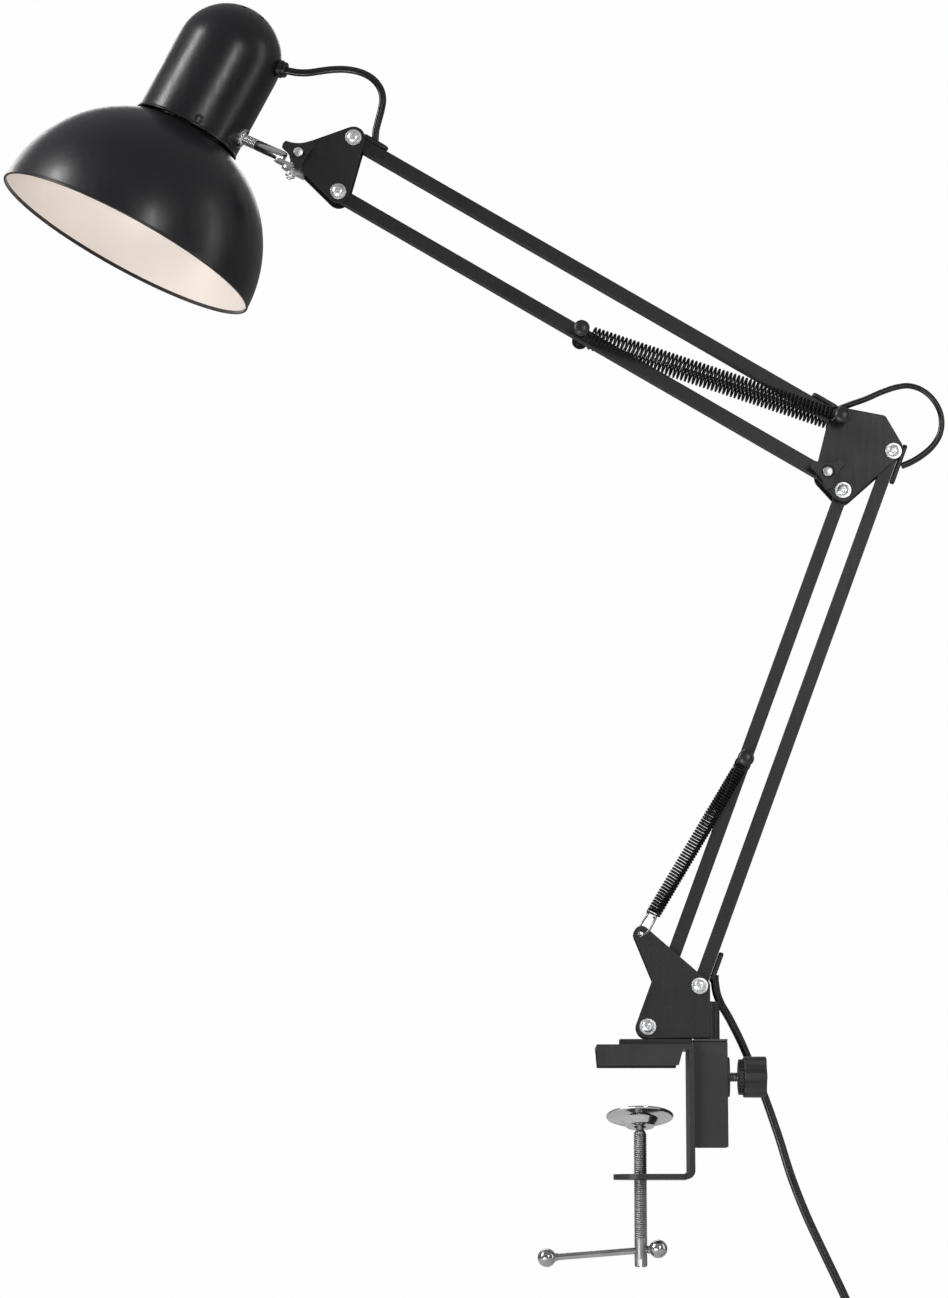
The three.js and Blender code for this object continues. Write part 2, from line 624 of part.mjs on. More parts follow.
/** The hemispherical reflector, open below, with a hole at the top for the lampholder. */
function shade() {
  const { rim, r, wall, hole } = SHADE;
  const steps = 7;
  const topAngle = (radius) => Math.acos(hole / radius);
  const arc = (radius, share) => {
    const angle = topAngle(radius) * share;
    return [radius * Math.cos(angle), rim + radius * Math.sin(angle)];
  };
  const outside = Array.from({ length: steps + 1 }, (_, i) => arc(r, i / steps));
  const inside = Array.from({ length: steps + 1 }, (_, i) => arc(r - wall, 1 - i / steps));
  const profile = [...outside, ...inside, outside[0]];
  return part("shade", turnedZ(profile, 36).translate(-HEAD_REACH, 0, 0), WHITE_ENAMEL());
}

/** The lampholder's body, with a lip that stands on the shade and a bore that is open below. */
function lampholder() {
  const seat = CAP.base + 2;
  const profile = [
    [14.2, seat - 24],
    [17, seat - 24],
    [19, seat - 6],
    [20.4, seat - 6],
    [20.4, seat + 1],
    [19.4, seat + 30],
    [10, seat + 36],
    [0, seat + 36],
    [0, seat + 12],
    [14.2, seat + 12],
    [14.2, seat - 24],
  ];
  return part("lampholder", turnedZ(profile, 20).translate(-HEAD_REACH, 0, 0), CERAMIC());
}

/** The threaded brass shell inside the lampholder. */
function contactShell() {
  const seat = CAP.base + 2;
  const profile = [[13.4, seat - 12], [13.9, seat - 12], [13.9, seat + 11.4], [13.4, seat + 11.4], [13.4, seat - 12]];
  return part("contact_shell", turnedZ(profile, 20).translate(-HEAD_REACH, 0, 0), BRASS());
}

/** The ring nut under the shade that clamps it to the lampholder. */
function shadeRing() {
  const z = SHADE.rim + Math.sqrt((SHADE.r - SHADE.wall) ** 2 - 26 ** 2);
  const profile = [[21, z - 6], [25, z - 6], [25, z - 1.2], [21, z - 1.2], [21, z - 6]];
  return part("shade_ring", turnedZ(profile, 20).translate(-HEAD_REACH, 0, 0), BLACK_PLASTIC());
}

/** The cord's collar in the side of the cap. */
function cordGland() {
  const face = CAP.r + GAP;
  const neck = pinX(2.5, face - 3, face + 1);
  const collar = pinX(5.6, face, face + 2.4);
  const nose = pinX(4.4, face + 2.2, face + 5);
  const gland = join(neck, collar, nose).rotateY(-GLAND_TILT);
  return part("cord_gland", gland.translate(-HEAD_REACH, 0, CAP.base + CAP.straight), BLACK_PLASTIC());
}

function head() {
  const fixed = headFrame();
  const swung = new THREE.Group();
  swung.rotation.z = -HEAD_SWING;
  swung.add(linkRod(), saddle(), cap(), shade(), lampholder(), contactShell(), shadeRing(), cordGland());
  fixed.add(yoke(), yokeScrew(), swung);
  return fixed;
}

// ---- cords ----
/** A round tube along hand-laid points. */
function cordTube(name, points, steps) {
  const section = new THREE.Shape();
  section.absarc(0, 0, CORD_R, 0, FULL_TURN, false);
  const path = new THREE.CatmullRomCurve3(points.map((point) => new THREE.Vector3(...point)), false, "centripetal");
  const options = { extrudePath: path, steps, bevelEnabled: false, curveSegments: CORD_SIDES / 2 };
  return part(name, new THREE.ExtrudeGeometry(section, options), BLACK_PLASTIC());
}

const HEAD_CORD = [
  [-214.4, 5.9, 617.1],
  [-209.6, 5.5, 616.0],
  [-202, 4.9, 615.6],
  [-195.2, 4.4, 616.4],
  [-186.5, 3.4, 617.2],
  [-177, 2.4, 616.8],
  [-168.6, 1.5, 614.6],
  [-161.6, 0.8, 610.4],
  [-156.9, 0.3, 604.2],
  [-155.3, 0, 597.4],
  [-156.3, 0, 590],
  [-158.3, 0, 582],
  [-159.4, 0, 577.4],
  [-159.7, 0, 573.2],
];
const ELBOW_CORD = [
  [125.8, 0, 401.2],
  [131.9, 0, 403.6],
  [141.1, 0, 406.9],
  [151, 0, 411.3],
  [159.6, 0, 414.2],
  [167.5, 0, 415.2],
  [175.3, 0, 412.8],
  [181.7, 0, 407.5],
  [186.2, 0, 399.8],
  [187.4, 0, 392.2],
  [185.9, 0, 384.4],
  [181.1, 0, 377],
  [174.6, 0, 371.4],
  [167.6, 0, 367.2],
  [164.1, 0, 365.6],
];
const LEAD = [
  [45.6, 0.5, 48.2],
  [46.6, 3, 43.5],
  [49.4, 8, 37.5],
  [54.6, 14, 29.5],
  [61.4, 20, 17],
  [67.6, 24.5, 3.5],
  [74.9, 27, -13],
  [84, 28, -39],
  [91.8, 28, -64.5],
  [100.6, 28, -87.5],
  [108.8, 28, -105.5],
  [117.5, 28, -124],
  [123, 28, -136],
  [126.5, 28, -144.6],
];
const SWITCH = { x: 127.3, y: 28, top: -146.5, length: 56, width: 26, depth: 17 };
const COIL = { x: 139, y: 28, z: -244.5, inner: 24, outer: 37.5, depth: 13 };
const TAIL = [
  [127.3, 28, -203],
  [127.1, 28, -205],
  [126.5, 28, -207],
];
const PLUG_CORD = [
  [112.5, 30, -213],
  [105, 29.5, -217],
  [98.2, 29, -223],
  [94, 28.5, -230.5],
  [92, 28, -239],
  [91.6, 28, -247.5],
];
const PLUG = { x: 91.5, y: 28, top: -247.9, body: 32 };

function cords() {
  return [
    cordTube("head_cord", HEAD_CORD, 22),
    cordTube("elbow_cord", ELBOW_CORD, 26),
    cordTube("lead_cord", LEAD, 26),
    cordTube("lead_tail", TAIL, 2),
    cordTube("plug_cord", PLUG_CORD, 6),
  ];
}

/** The unseen length of the lead, wound in a round coil that hangs from its tie. */
function leadCoil() {
  const { x, y, z, inner, outer, depth } = COIL;
  const half = depth / 2;
  const profile = [
    [inner + 2, -half],
    [outer - 2, -half],
    [outer, -half + 3],
    [outer, half - 3],
    [outer - 2, half],
    [inner + 2, half],
    [inner, half - 3],
    [inner, 3 - half],
    [inner + 2, -half],
  ];
  return part("lead_coil", turnedY(profile, 0, 0, 28).translate(x, y, z), BLACK_PLASTIC());
}

/** The inline switch: a rounded body with a window for its rocker. */
function leadSwitch() {
  const { x, y, top, length, width, depth } = SWITCH;
  const half = width / 2;
  const round = 8;
  const discs = [
    [half - round, -length / 2 + round, round],
    [half - round, length / 2 - round, round],
    [round - half, length / 2 - round, round],
    [round - half, -length / 2 + round, round],
  ];
  const shell = plateXZ(beltRound(discs), -depth / 2, depth / 2);
  const window = block([-6.3, -depth, -10.3], [6.3, -1.5, 10.3]);
  const body = part("switch_body", cut(shell, window), BLACK_PLASTIC());
  const rockerOutline = new THREE.Shape();
  const front = -depth / 2;
  const corners = [[front - 2.6, -9.2], [front - 0.2, 0], [front - 0.6, 9.2], [-4.4, 8.8], [-3, 0], [-4.4, -8.8]];
  corners.forEach((corner, i) => rockerOutline[i ? "lineTo" : "moveTo"](...corner));
  const rocker = part("switch_rocker", plateYZ(rockerOutline, -5.9, 5.9), BLACK_PLASTIC());
  for (const mesh of [body, rocker]) mesh.position.set(x, y, top - length / 2);
  return [body, rocker];
}

/** The flat two-pin plug, pins down. */
function plug() {
  const { x, y, top, body } = PLUG;
  const discs = [[-9, -5, 3], [9, -5, 3], [13.5, 0, 4], [9, 5, 3], [-9, 5, 3], [-13.5, 0, 4]];
  const handle = plateXY(beltRound(discs), -body, 0);
  const pins = [-9.3, 9.3].map((at) => {
    const pin = turnedZ([[0, -body - 19], [1.6, -body - 19], [2, -body - 18], [2, -body + 1], [0, -body + 1]]);
    return pin.translate(at, 0, 0);
  });
  return part("plug", join(handle, ...pins).rotateZ(Math.PI / 2).translate(x, y, top), BLACK_PLASTIC());
}

// ---- the lamp ----
const lamp = new THREE.Group();
lamp.name = "architect_desk_lamp";
lamp.add(clamp(), base(), ...lowerArms(), elbow(), ...upperArms(), ...springs());
lamp.add(headBracket(), head(), ...cords(), leadCoil(), ...leadSwitch(), plug());

export default lamp;
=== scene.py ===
"""The visual model of an architect desk lamp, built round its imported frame.

Metres, +Z up. The arms move in the XZ plane, the head is on the -X side and the wing nuts face -Y.
Sizes of pieces are written in millimetres, and MM turns them into metres.
"""

import json
import logging
import math
from collections.abc import Callable, Sequence
from dataclasses import dataclass, field
from enum import Enum

import bmesh
import bpy
from mathutils import Matrix, Vector


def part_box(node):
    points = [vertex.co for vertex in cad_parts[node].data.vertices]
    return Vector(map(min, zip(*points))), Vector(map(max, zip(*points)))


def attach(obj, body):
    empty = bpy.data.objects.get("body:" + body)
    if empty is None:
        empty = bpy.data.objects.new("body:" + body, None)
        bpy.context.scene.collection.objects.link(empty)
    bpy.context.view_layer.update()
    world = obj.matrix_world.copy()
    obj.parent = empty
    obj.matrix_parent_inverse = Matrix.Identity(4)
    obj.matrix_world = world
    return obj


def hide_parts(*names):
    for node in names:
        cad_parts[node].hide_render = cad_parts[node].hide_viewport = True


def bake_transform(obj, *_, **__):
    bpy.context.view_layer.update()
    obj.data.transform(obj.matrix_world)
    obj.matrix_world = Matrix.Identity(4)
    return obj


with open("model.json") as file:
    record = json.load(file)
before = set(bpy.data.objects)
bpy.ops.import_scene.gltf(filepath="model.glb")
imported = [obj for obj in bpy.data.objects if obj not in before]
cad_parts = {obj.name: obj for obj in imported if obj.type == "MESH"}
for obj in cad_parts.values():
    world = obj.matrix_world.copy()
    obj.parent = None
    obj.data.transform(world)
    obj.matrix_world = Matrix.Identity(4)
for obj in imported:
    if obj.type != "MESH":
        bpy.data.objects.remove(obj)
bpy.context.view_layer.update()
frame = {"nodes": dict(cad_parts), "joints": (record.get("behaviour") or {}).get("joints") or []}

LOG = logging.getLogger("desk_lamp")
MM = 0.001
FULL_TURN = 2 * math.pi

Point = tuple[float, float, float]
Profile = Sequence[tuple[float, float]]

X_AXIS = Vector((1, 0, 0))
Y_AXIS = Vector((0, 1, 0))
Z_AXIS = Vector((0, 0, 1))


class Body(Enum):
    """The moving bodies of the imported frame."""

    CLAMP = "clamp"
    LOCK_KNOB = "lock_knob"
    SCREW_CARRIAGE = "screw_carriage"
    PRESSURE_PAD = "pressure_pad"
    CLAMP_SCREW = "clamp_screw"
    TOMMY_BAR = "tommy_bar"
    BASE = "base"
    SWITCH_ROCKER = "switch_rocker"
    LOWER_CORD_ARM = "lower_cord_arm"
    LOWER_SPRING_ARM = "lower_spring_arm"
    ELBOW = "elbow"
    ELBOW_WING_NUT = "elbow_wing_nut"
    UPPER_CORD_ARM = "upper_cord_arm"
    UPPER_SPRING_ARM = "upper_spring_arm"
    HEAD_BRACKET = "head_bracket"
    HEAD_WING_NUT = "head_wing_nut"
    YOKE = "yoke"
    LAMP_HEAD = "lamp_head"


class Slot(Enum):
    """The material slots of the record."""

    BRACKET = "bracket_grey"
    SOCKET = "socket_grey"
    ARM = "arm_black"
    PLATE = "plate_black"
    CAP = "cap_black"
    SHADE = "shade_enamel"
    ZINC = "zinc"
    CHROME = "chrome"
    SPRING = "spring_steel"
    KNOB = "knob_plastic"
    PLASTIC = "black_plastic"
    STUD = "stud_black"
    BUSH = "bush_nylon"
    CERAMIC = "ceramic"
    BRASS = "brass"
    CORD = "cord_pvc"
    SWITCH = "switch_plastic"
    ROCKER = "rocker_plastic"
    PLUG = "plug_plastic"


# ---------------------------------------------------------------- finishes


class Graph:
    """A small shader graph that reads Object coordinates or a piece's own UV map."""

    def __init__(self, name: str) -> None:
        """Starts a material with an empty Principled shader.

        Args:
            name: The material's name.
        """
        self.material = bpy.data.materials.new(name)
        self.material.use_nodes = True
        self.tree = self.material.node_tree
        self.shader = self.tree.nodes["Principled BSDF"]
        self.place = self.tree.nodes.new("ShaderNodeTexCoord").outputs["Object"]

    def node(self, kind: str, **values: object) -> bpy.types.Node:
        """Adds a node and sets its properties.

        Args:
            kind: The node's type.
            **values: Properties by name.

        Returns:
            The node.
        """
        made = self.tree.nodes.new(kind)
        for key, value in values.items():
            setattr(made, key, value)
        return made

    def link(self, start: bpy.types.NodeSocket, end: bpy.types.NodeSocket) -> None:
        """Links two sockets."""
        self.tree.links.new(start, end)

    def noise(self, scale: float, detail: float = 3, stretch: Point = (1, 1, 1)) -> bpy.types.NodeSocket:
        """Adds a noise in Object coordinates.

        Args:
            scale: Cells per metre.
            detail: Octaves.
            stretch: Factors on the coordinates, small along the grain.

        Returns:
            The factor socket.
        """
        mapping = self.node("ShaderNodeMapping")
        mapping.inputs["Scale"].default_value = stretch
        self.link(self.place, mapping.inputs["Vector"])
        noise = self.node("ShaderNodeTexNoise")
        noise.inputs["Scale"].default_value = scale
        noise.inputs["Detail"].default_value = detail
        self.link(mapping.outputs["Vector"], noise.inputs["Vector"])
        return noise.outputs["Fac"]

    def spread(self, factor: bpy.types.NodeSocket, low: float, high: float) -> bpy.types.NodeSocket:
        """Maps the middle of a noise onto a range.

        Args:
            factor: The noise.
            low: Value at the noise's low end.
            high: Value at its high end.

        Returns:
            The mapped value.
        """
        mapped = self.node("ShaderNodeMapRange")
        mapped.inputs["From Min"].default_value = 0.3
        mapped.inputs["From Max"].default_value = 0.7
        mapped.inputs["To Min"].default_value = low
        mapped.inputs["To Max"].default_value = high
        self.link(factor, mapped.inputs["Value"])
        return mapped.outputs["Result"]

    def tint(self, factor: bpy.types.NodeSocket, first: Point, second: Point) -> bpy.types.NodeSocket:
        """Mixes two colours by a factor.

        Args:
            factor: From 0 to 1.
            first: Linear colour at 0.
            second: Linear colour at 1.

        Returns:
            The colour socket.
        """
        mix = self.node("ShaderNodeMix", data_type="RGBA")
        self.link(factor, mix.inputs[0])
        mix.inputs[6].default_value = (*first, 1)
        mix.inputs[7].default_value = (*second, 1)
        return mix.outputs[2]

    def bump(self, heights: Sequence[tuple[bpy.types.NodeSocket, float]]) -> None:
        """Adds heights on top of each other and wires them to the shader's normal.

        Args:
            heights: Pairs of a height factor and its depth in metres.
        """
        normal = None
        for factor, depth in heights:
            bump = self.node("ShaderNodeBump")
            bump.inputs["Strength"].default_value = 1.0
            bump.inputs["Distance"].default_value = depth
            self.link(factor, bump.inputs["Height"])
            if normal is not None:
                self.link(normal, bump.inputs["Normal"])
            normal = bump.outputs["Normal"]
        self.link(normal, self.shader.inputs["Normal"])

    def fixed(self, **values: float) -> None:
        """Sets uniform values on the shader's own sockets, with _ for a space in their names."""
        for key, value in values.items():
            self.shader.inputs[key.replace("_", " ")].default_value = value


@dataclass(frozen=True)
class Finish:
    """What every finish has: a name and a colour."""

    name: str
    colour: Point

    def shifted(self, factor: float) -> Point:
        """The colour made lighter or darker by a factor."""
        return tuple(min(1.0, channel * factor) for channel in self.colour)

    def wire(self, graph: Graph) -> None:
        """Wires the finish's own nodes; each kind of finish has its own."""
        raise NotImplementedError

    def material(self) -> bpy.types.Material:
        """The finish's material, made once."""
        found = bpy.data.materials.get(self.name)
        if found is None:
            graph = Graph(self.name)
            self.wire(graph)
            found = graph.material
        return found


@dataclass(frozen=True)
class Paint(Finish):
    """A baked powder coat or lacquer: orange peel, uneven gloss and faint handling marks."""

    gloss: float = 0.4
    peel: float = 0.00004
    coat: float = 0.15
    patch: float = 0.2  # how far the colour shifts from patch to patch

    def wire(self, graph: Graph) -> None:
        """Wires colour patches, gloss patches, fine scuffs and the orange peel."""
        patches = graph.spread(graph.noise(9, 4), 0, 1)
        scuffs = graph.spread(graph.noise(420, 5, (1, 1, 0.08)), 0, 1)
        colour = graph.tint(patches, self.shifted(1 - self.patch), self.shifted(1 + self.patch))
        graph.link(colour, graph.shader.inputs["Base Color"])
        rough = graph.node("ShaderNodeMath", operation="ADD")
        graph.link(graph.spread(graph.noise(35, 4), self.gloss - 0.05, self.gloss + 0.05), rough.inputs[0])
        graph.link(graph.spread(scuffs, -0.02, 0.03), rough.inputs[1])
        graph.link(rough.outputs["Value"], graph.shader.inputs["Roughness"])
        graph.bump([(graph.noise(1600, 2), self.peel), (graph.noise(5200, 2), self.peel * 0.3)])
        graph.fixed(Coat_Weight=self.coat, Coat_Roughness=0.22, IOR=1.5)


@dataclass(frozen=True)
class Metal(Finish):
    """Bare or plated metal: a fine grain, smudges and small colour shifts."""

    gloss: float = 0.2
    grain: float = 0.00001
    stretch: Point = (1, 1, 1)

    def wire(self, graph: Graph) -> None:
        """Wires the grain, the smudges and the tone."""
        grain = graph.noise(2600, 3, self.stretch)
        smudge = graph.spread(graph.noise(70, 4), 0, 1)
        graph.link(graph.tint(smudge, self.shifted(0.86), self.shifted(1.08)), graph.shader.inputs["Base Color"])
        rough = graph.node("ShaderNodeMath", operation="ADD")
        graph.link(graph.spread(grain, self.gloss * 0.8, self.gloss * 1.25), rough.inputs[0])
        graph.link(graph.spread(smudge, 0.0, 0.07), rough.inputs[1])
        graph.link(rough.outputs["Value"], graph.shader.inputs["Roughness"])
        graph.bump([(grain, self.grain)])
        graph.fixed(Metallic=1.0)


@dataclass(frozen=True)
class Moulding(Finish):
    """Moulded plastic, rubber or ceramic: eroded mould texture, flow marks and soft gloss."""

    gloss: float = 0.45
    texture: float = 0.00003
    grain: float = 3200
    sheen: float = 0.0

    def wire(self, graph: Graph) -> None:
        """Wires flow marks, the mould's texture and the gloss."""
        flow = graph.spread(graph.noise(26, 5, (1, 1, 0.4)), 0, 1)
        graph.link(graph.tint(flow, self.shifted(0.85), self.shifted(1.2)), graph.shader.inputs["Base Color"])
        skin = graph.noise(self.grain, 3)
        graph.link(graph.spread(skin, self.gloss - 0.05, self.gloss + 0.07), graph.shader.inputs["Roughness"])
        graph.bump([(skin, self.texture), (graph.noise(240, 3), self.texture * 1.5)])
        graph.fixed(Sheen_Weight=self.sheen)


@dataclass(frozen=True)
class CordSkin(Finish):
    """Extruded PVC: drawing lines along the cord, scuffs across it."""

    gloss: float = 0.3

    def wire(self, graph: Graph) -> None:
        """Wires lines that follow the cord's UV map and scuffs in Object coordinates."""
        uv = graph.node("ShaderNodeUVMap", uv_map="cord")
        mapping = graph.node("ShaderNodeMapping")
        mapping.inputs["Scale"].default_value = (14, 18, 1)
        graph.link(uv.outputs["UV"], mapping.inputs["Vector"])
        lines = graph.node("ShaderNodeTexNoise")
        lines.inputs["Scale"].default_value = 1.0
        lines.inputs["Detail"].default_value = 3
        graph.link(mapping.outputs["Vector"], lines.inputs["Vector"])
        scuffs = graph.noise(300, 4)
        tone = graph.spread(scuffs, 0, 1)
        graph.link(graph.tint(tone, self.shifted(0.85), self.shifted(1.3)), graph.shader.inputs["Base Color"])
        graph.link(graph.spread(scuffs, self.gloss - 0.05, self.gloss + 0.08), graph.shader.inputs["Roughness"])
        graph.bump([(lines.outputs["Fac"], 0.000005), (scuffs, 0.000004)])


BRACKET_GREY = Paint("bracket_grey_paint", (0.018, 0.0185, 0.019), 0.36, 0.00005, 0.1)
SOCKET_GREY = Paint("socket_grey_paint", (0.02, 0.0205, 0.021), 0.4, 0.00005, 0.1)
ARM_BLACK = Paint("arm_black_paint", (0.0045, 0.0045, 0.005), 0.42, 0.00004, 0.05)
PLATE_BLACK = Paint("plate_black_paint", (0.006, 0.006, 0.0065), 0.4, 0.00005, 0.05)
CAP_BLACK = Paint("cap_black_lacquer", (0.006, 0.006, 0.0075), 0.31, 0.00002, 0.1)
SHADE_BLACK = Paint("shade_black_lacquer", (0.006, 0.006, 0.0078), 0.34, 0.00002, 0.1)
SHADE_WHITE = Paint("shade_white_enamel", (0.95, 0.87, 0.81), 0.4, 0.00003, 0.1, 0.03)
ZINC = Metal("zinc_plate", (0.9, 0.91, 0.92), 0.3, 0.00001)
ZINC_THREAD = Metal("zinc_thread", (0.3, 0.3, 0.3), 0.34, 0.00001)
CHROME = Metal("chrome_plate", (0.86, 0.865, 0.87), 0.16, 0.000002)
PAD_CHROME = Metal("pad_chrome", (0.7, 0.7, 0.71), 0.08, 0.000002)
BAR_CHROME = Metal("bar_chrome", (0.5, 0.5, 0.505), 0.12, 0.000002)
SPRING_BLACK = Metal("spring_black_oxide", (0.022, 0.022, 0.023), 0.32, 0.00001)
HOOK_STEEL = Metal("hook_wire", (0.3, 0.3, 0.31), 0.2, 0.00001)
STUD_BLACK = Paint("stud_black_oxide", (0.012, 0.012, 0.013), 0.36, 0.00003, 0.1)
KNOB_GREY = Moulding("knob_plastic_grain", (0.016, 0.0165, 0.017), 0.46, 0.00005, 2600)
NUT_BLACK = Moulding("nut_plastic_grain", (0.009, 0.009, 0.0095), 0.4, 0.00004, 2600)
BLACK_PLASTIC = Moulding("black_plastic_grain", (0.007, 0.007, 0.0075), 0.4, 0.00003, 3200)
NYLON = Moulding("nylon_bush_skin", (0.045, 0.045, 0.045), 0.4, 0.00002, 3600)
CERAMIC = Moulding("lampholder_glaze", (0.72, 0.69, 0.64), 0.2, 0.00002, 900)
BRASS = Metal("contact_brass", (0.66, 0.46, 0.2), 0.24, 0.00001)
CORD_BLACK = CordSkin("cord_pvc_skin", (0.005, 0.005, 0.0055), 0.24)
SWITCH_BLACK = Moulding("switch_plastic_skin", (0.012, 0.012, 0.0125), 0.3, 0.00002, 3000)
ROCKER_BLACK = Moulding("rocker_plastic_skin", (0.02, 0.02, 0.021), 0.24, 0.00001, 3000)
PLUG_BLACK = Moulding("plug_rubber_skin", (0.014, 0.014, 0.0145), 0.4, 0.00003, 2400, 0.05)
TIE_WHITE = Moulding("tie_paper_skin", (0.55, 0.55, 0.53), 0.5, 0.00003, 1800)


# ---------------------------------------------------------------- meshes


def at(x: float, y: float, z: float) -> Vector:
    """A point from millimetres."""
    return Vector((x, y, z)) * MM


def placed(origin: Vector, z_axis: Vector, x_hint: Vector = X_AXIS) -> Matrix:
    """The matrix of a frame at a point.

    Args:
        origin: Where the frame's origin is, in metres.
        z_axis: Its +Z direction.
        x_hint: A direction near its +X.

    Returns:
        The 4x4 matrix.
    """
    z = z_axis.normalized()
    x = (x_hint - x_hint.dot(z) * z).normalized()
    y = z.cross(x)
    turn = Matrix((x, y, z)).transposed().to_4x4()
    return Matrix.Translation(origin) @ turn


@dataclass
class Piece:
    """A mesh object on its way to the frame."""

    obj: bpy.types.Object

    @classmethod
    def new(cls, name: str, mesh: bpy.types.Mesh) -> "Piece":
        """Links a mesh to the scene as a new piece.

        Args:
            name: The piece's name.
            mesh: Its mesh, in metres and in place.

        Returns:
            The piece.
        """
        obj = bpy.data.objects.new(name, mesh)
        bpy.context.scene.collection.objects.link(obj)
        return cls(obj)

    def settle(self) -> "Piece":
        """Turns the result of the modifiers into the piece's plain mesh."""
        bpy.context.view_layer.update()
        graph = bpy.context.evaluated_depsgraph_get()
        mesh = bpy.data.meshes.new_from_object(
            self.obj.evaluated_get(graph), preserve_all_data_layers=True, depsgraph=graph
        )
        old = self.obj.data
        self.obj.modifiers.clear()
        self.obj.data = mesh
        bpy.data.meshes.remove(old)
        return self

    def smooth(self, degrees: float = 32) -> "Piece":
        """Shades the piece smooth, with edges above an angle left sharp."""
        mesh = self.obj.data
        mesh.polygons.foreach_set("use_smooth", [True] * len(mesh.polygons))
        mesh.set_sharp_from_angle(angle=math.radians(degrees))
        return self

    def soften(self, width: float, segments: int = 2, degrees: float = 35) -> "Piece":
        """Rounds the piece's sharp edges.

        Args:
            width: Of the rounding, in millimetres.
            segments: Steps across it.
            degrees: The least angle that is rounded.

        Returns:
            The piece.
        """
        bevel = self.obj.modifiers.new("rounded", "BEVEL")
        bevel.width = width * MM
        bevel.segments = segments
        bevel.limit_method = "ANGLE"
        bevel.angle_limit = math.radians(degrees)
        bevel.use_clamp_overlap = True
        even = self.obj.modifiers.new("even", "WEIGHTED_NORMAL")
        even.keep_sharp = True
        self.obj.data.polygons.foreach_set("use_smooth", [True] * len(self.obj.data.polygons))
        return self.settle()

    def cut(self, *cutters: "Piece") -> "Piece":
        """Takes other pieces out of this one, which uses them up."""
        for cutter in cutters:
            hollow = self.obj.modifiers.new("hollow", "BOOLEAN")
            hollow.object = cutter.obj
            hollow.operation = "DIFFERENCE"
            hollow.solver = "EXACT"
        self.settle()
        for cutter in cutters:
            cutter.discard()
        return self

    def discard(self) -> None:
        """Removes the piece and its mesh."""
        mesh = self.obj.data
        bpy.data.objects.remove(self.obj)
        bpy.data.meshes.remove(mesh)

    def join(self, *others: "Piece") -> "Piece":
        """Takes other pieces' meshes into this one, with their materials."""
        bm = bmesh.new()
        bm.from_mesh(self.obj.data)
        for other in others:
            start = len(self.obj.data.materials)
            faces_before = len(bm.faces)
            bm.from_mesh(other.obj.data)
            bm.faces.ensure_lookup_table()
            for index in range(faces_before, len(bm.faces)):
                bm.faces[index].material_index += start
            for material in other.obj.data.materials:
                self.obj.data.materials.append(material)
            other.discard()
        bm.to_mesh(self.obj.data)
        bm.free()
        return self

    def moved(self, matrix: Matrix) -> "Piece":
        """Moves the piece's mesh by a matrix."""
        self.obj.data.transform(matrix)
        return self

    def dress(self, *finishes: Finish) -> "Piece":
        """Gives the piece its finishes, one for each zone of its mesh."""
        if self.obj.data.materials:
            self.obj.data.materials.clear()
        for finish in finishes:
            self.obj.data.materials.append(finish.material())
        return self

    def ride(self, body: Body, slot: Slot | None, *nodes: str) -> "Piece":
        """Puts the piece on a body.

        Args:
            body: The body that it moves with.
            slot: Not used.
            *nodes: The CAD nodes that it stands for.

        Returns:
            The piece.
        """
        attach(self.obj, body.value)
        return self._named(slot, nodes, body.value)

    def bend(self, first: Body, second: Body, ends: tuple[Vector, Vector], slot: Slot, *nodes: str) -> "Piece":
        """Bakes the piece's place into its mesh and hides the CAD nodes that it stands for; the piece is put on no
        body.

        Args:
            first: The body named first in the logged line.
            second: The body named second in the logged line.
            ends: Not used.
            slot: Not used.
            *nodes: The CAD nodes that it stands for.

        Returns:
            The piece.
        """
        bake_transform(self.obj, first.value, second.value, start=tuple(ends[0]), end=tuple(ends[1]))
        return self._named(slot, nodes, f"{first.value} to {second.value}")

    def _named(self, slot: Slot | None, nodes: Sequence[str], where: str) -> "Piece":
        """Hides the CAD nodes that the piece stands for, and reports it."""
        if nodes:
            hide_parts(*nodes)
        LOG.info("%s on %s, %d faces", self.obj.name, where, len(self.obj.data.polygons))
        return self


def from_bmesh(name: str, bm: bmesh.types.BMesh) -> Piece:
    """Makes a piece of a bmesh, with its faces turned outwards.

    Args:
        name: The piece's name.
        bm: The bmesh, which is freed.

    Returns:
        The piece.
    """
    bmesh.ops.recalc_face_normals(bm, faces=bm.faces)
    mesh = bpy.data.meshes.new(name)
    bm.to_mesh(mesh)
    bm.free()
    return Piece.new(name, mesh)


